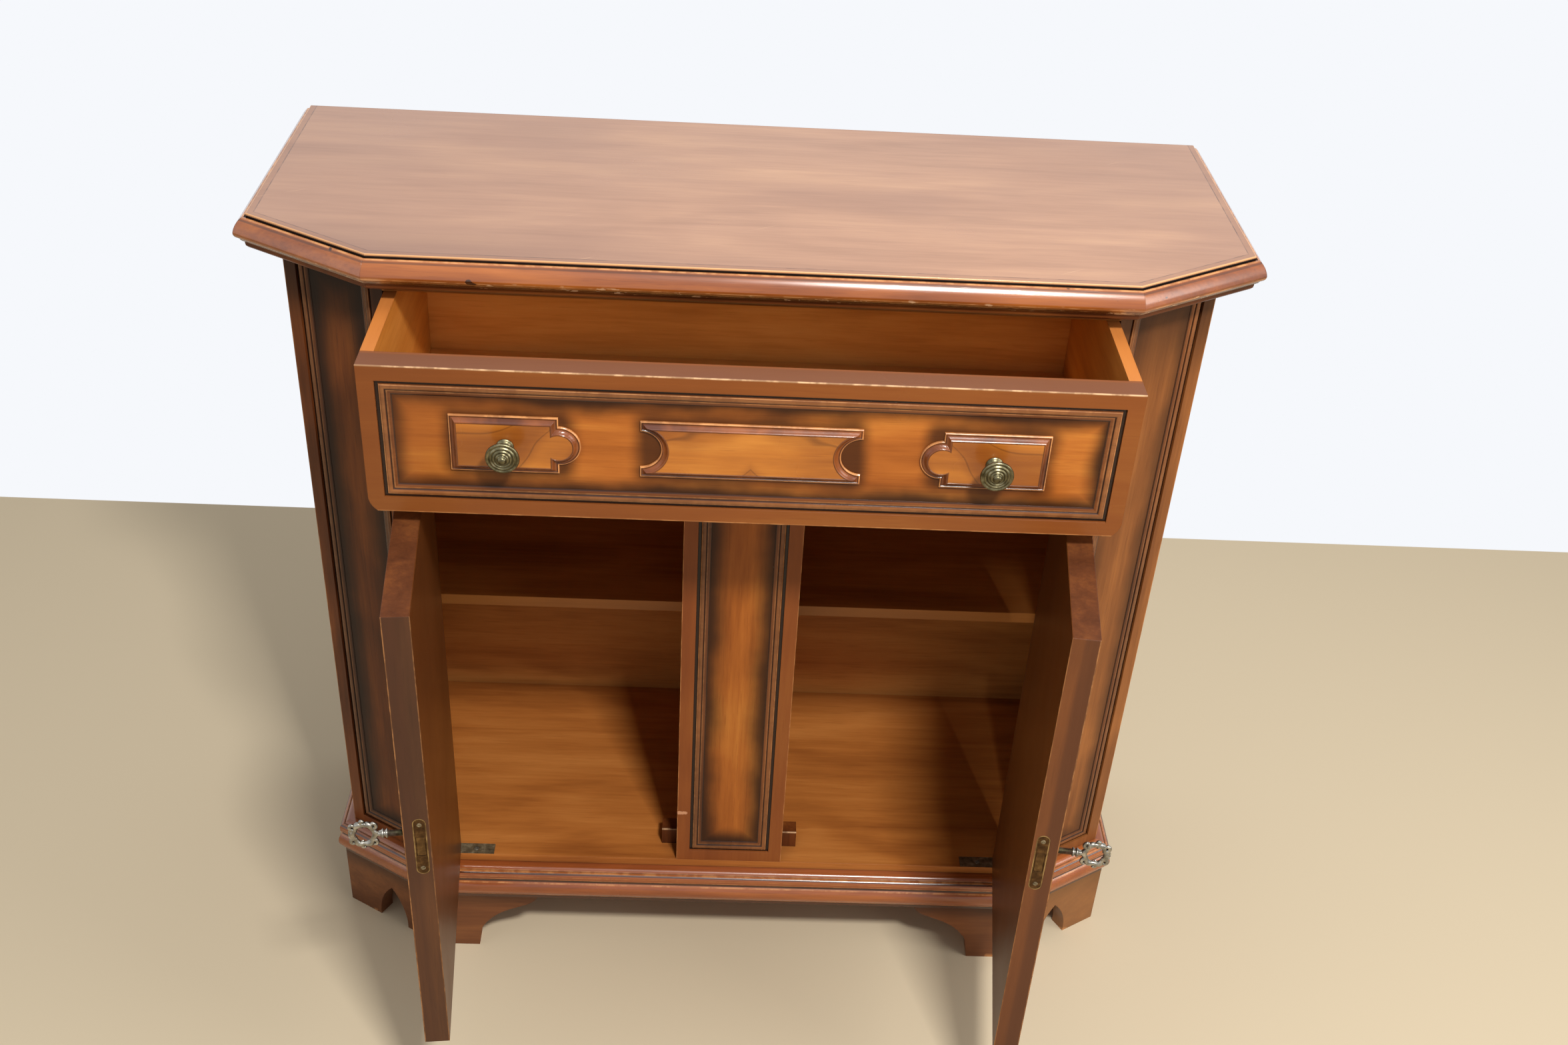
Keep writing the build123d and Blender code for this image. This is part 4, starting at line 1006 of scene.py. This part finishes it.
for side_name, door in DOORS.items():
    outward = door["outward"]
    foot = door["pivot"] + door["toward"] * KEY_REACH + outward * DOOR_FACE_OUT
    foot.z = KEY_Z
    bow_normal = outward.cross(Vector((0, 0, 1)))
    bow_centre = foot + outward * BOW_OUT
    bm = bmesh.new()
    lathe(bm, SHANK, foot, outward, 32)
    for points, radii, closed in bow_parts():
        path = [bow_centre + (outward * a + Vector((0, 0, b))) * MM for a, b in points]
        tube(bm, path, [r * MM for r in radii], bow_normal, closed)
    piece("key_" + side_name + "_cast", bm, PEWTER, "key_" + side_name, "aged_brass", "key_" + side_name)

# Countersunk screws on the lock plates and hinge leaves


def screw(bm, centre, normal, slot_way, radius=2.4 * MM, count=15, gap=math.asin(0.16)):
    """Slotted head standing a little proud: two half discs with a gap between them."""
    centre, normal, slot_way = Vector(centre), Vector(normal), Vector(slot_way).normalized()
    other = normal.cross(slot_way)
    for half in (-1, 1):
        rim = []
        for i in range(count):
            t = gap + (math.pi - 2 * gap) * i / (count - 1)
            rim.append(slot_way * math.cos(t) + other * math.sin(t) * half)
        levels = []
        for scale, rise in ((1.0, -0.4), (1.0, 0.15), (0.8, 0.4)):
            levels.append([bm.verts.new(centre + p * radius * scale + normal * rise * MM) for p in rim])
        for a, b in zip(levels, levels[1:]):
            for i in range(count):
                j = (i + 1) % count
                bm.faces.new([a[i], a[j], b[j], b[i]])
        bm.faces.new(levels[0])
        bm.faces.new(levels[-1])


for side_name, door in DOORS.items():
    bm = bmesh.new()
    toward, outward = door["toward"], door["outward"]
    centre = door["pivot"] + toward * DOOR_REACH - outward * LOCK_PLATE_DEPTH
    for way in (-1, 1):
        centre.z = KEY_Z + way * LOCK_SCREW_UP
        screw(bm, centre, toward, outward + Vector((0, 0, LOCK_SCREW_TURN * way)))
    piece("lock_screws_" + side_name, bm, HINGE_BRASS, "door_" + side_name, "brass")

low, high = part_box("hinge_leaves_carcass")
LEAF_Y = (low[1] + high[1]) / 2
LEAF_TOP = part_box("floor_board")[1][2]
bm = bmesh.new()
for leaf_side in (-1, 1):
    for away in LEAF_SCREWS_IN:
        centre = (leaf_side * (high[0] - away), LEAF_Y, LEAF_TOP)
        screw(bm, centre, (0, 0, 1), (1, 0.4 * leaf_side, 0), LEAF_SCREW_RADIUS)
piece("hinge_screws", bm, SCREW_STEEL, "carcass", "brass")

# Floor, world, lamps and camera

WALL_Y = 0.74
WHITE = srgb(246, 248, 252)


def background_mask(tree):
    """1 for the rays that see the background: those of the camera and of reflections."""
    path = tree.nodes.new("ShaderNodeLightPath")
    either = tree.nodes.new("ShaderNodeMath")
    either.operation = "MAXIMUM"
    tree.links.new(path.outputs["Is Camera Ray"], either.inputs[0])
    tree.links.new(path.outputs["Is Glossy Ray"], either.inputs[1])
    return either.outputs[0]


bpy.ops.mesh.primitive_plane_add(size=14, location=(0, 0, 0))
floor = bpy.context.object
floor.name = "floor"
g = Graph("floor_paint")
matte = g.node("BsdfPrincipled")
matte.inputs["Base Color"].default_value = srgb(206, 191, 164)
matte.inputs["Roughness"].default_value = 0.7
matte.inputs["Specular IOR Level"].default_value = 0.2
bright = g.node("Emission")
bright.inputs["Color"].default_value = WHITE
beyond = g.math("GREATER_THAN", g.along((0, WALL_Y, 0), (0, 1, 0)), 0.0)
cover = g.node("MixShader")
g.put(cover.inputs[0], g.math("MULTIPLY", beyond, background_mask(g.tree)))
g.put(cover.inputs[1], matte.outputs[0])
g.put(cover.inputs[2], bright.outputs[0])
g.put(g.out.inputs["Surface"], cover.outputs[0])
floor.data.materials.append(g.mat)

world = bpy.data.worlds.new("studio")
bpy.context.scene.world = world
world.use_nodes = True
tree = world.node_tree
tree.nodes.clear()
lit = tree.nodes.new("ShaderNodeBackground")
lit.inputs["Color"].default_value = (1.0, 0.98, 0.95, 1)
lit.inputs["Strength"].default_value = 0.38
seen = tree.nodes.new("ShaderNodeBackground")
seen.inputs["Color"].default_value = WHITE
blend = tree.nodes.new("ShaderNodeMixShader")
end = tree.nodes.new("ShaderNodeOutputWorld")
tree.links.new(background_mask(tree), blend.inputs[0])
tree.links.new(lit.outputs[0], blend.inputs[1])
tree.links.new(seen.outputs[0], blend.inputs[2])
tree.links.new(blend.outputs[0], end.inputs[0])


def lamp(name, place, target, size, power, colour=(1, 0.97, 0.93)):
    data = bpy.data.lights.new(name, "AREA")
    data.shape = "RECTANGLE"
    data.size, data.size_y = size
    data.energy = power
    data.color = colour
    made = bpy.data.objects.new(name, data)
    bpy.context.scene.collection.objects.link(made)
    made.location = place
    made.rotation_euler = (Vector(target) - Vector(place)).to_track_quat("-Z", "Y").to_euler()


lamp("key", (0.50, -1.72, 2.62), (0.0, 0, 0.45), (0.34, 0.24), 66)
lamp("side", (2.3, -1.3, 1.7), (0, 0, 0.5), (1.4, 1.2), 26, (1, 0.97, 0.92))
lamp("overhead", (0.0, 0.1, 3.0), (0, 0, 0.9), (2.4, 1.8), 14, (0.97, 0.98, 1.0))
lamp("fill", (-2.8, -1.6, 1.5), (0, 0, 0.5), (1.6, 1.6), 4, (0.93, 0.96, 1.0))

camera = bpy.data.cameras.new("camera")
camera.sensor_width = 36
camera.lens = 38.11
eye = bpy.data.objects.new("camera", camera)
eye.location = (-0.03014, -1.53565, 1.57408)
eye.rotation_euler = (0.9664988, -0.0529724, -0.0141519)
bpy.context.scene.collection.objects.link(eye)
bpy.context.scene.camera = eye
bpy.context.scene.view_settings.view_transform = "Standard"
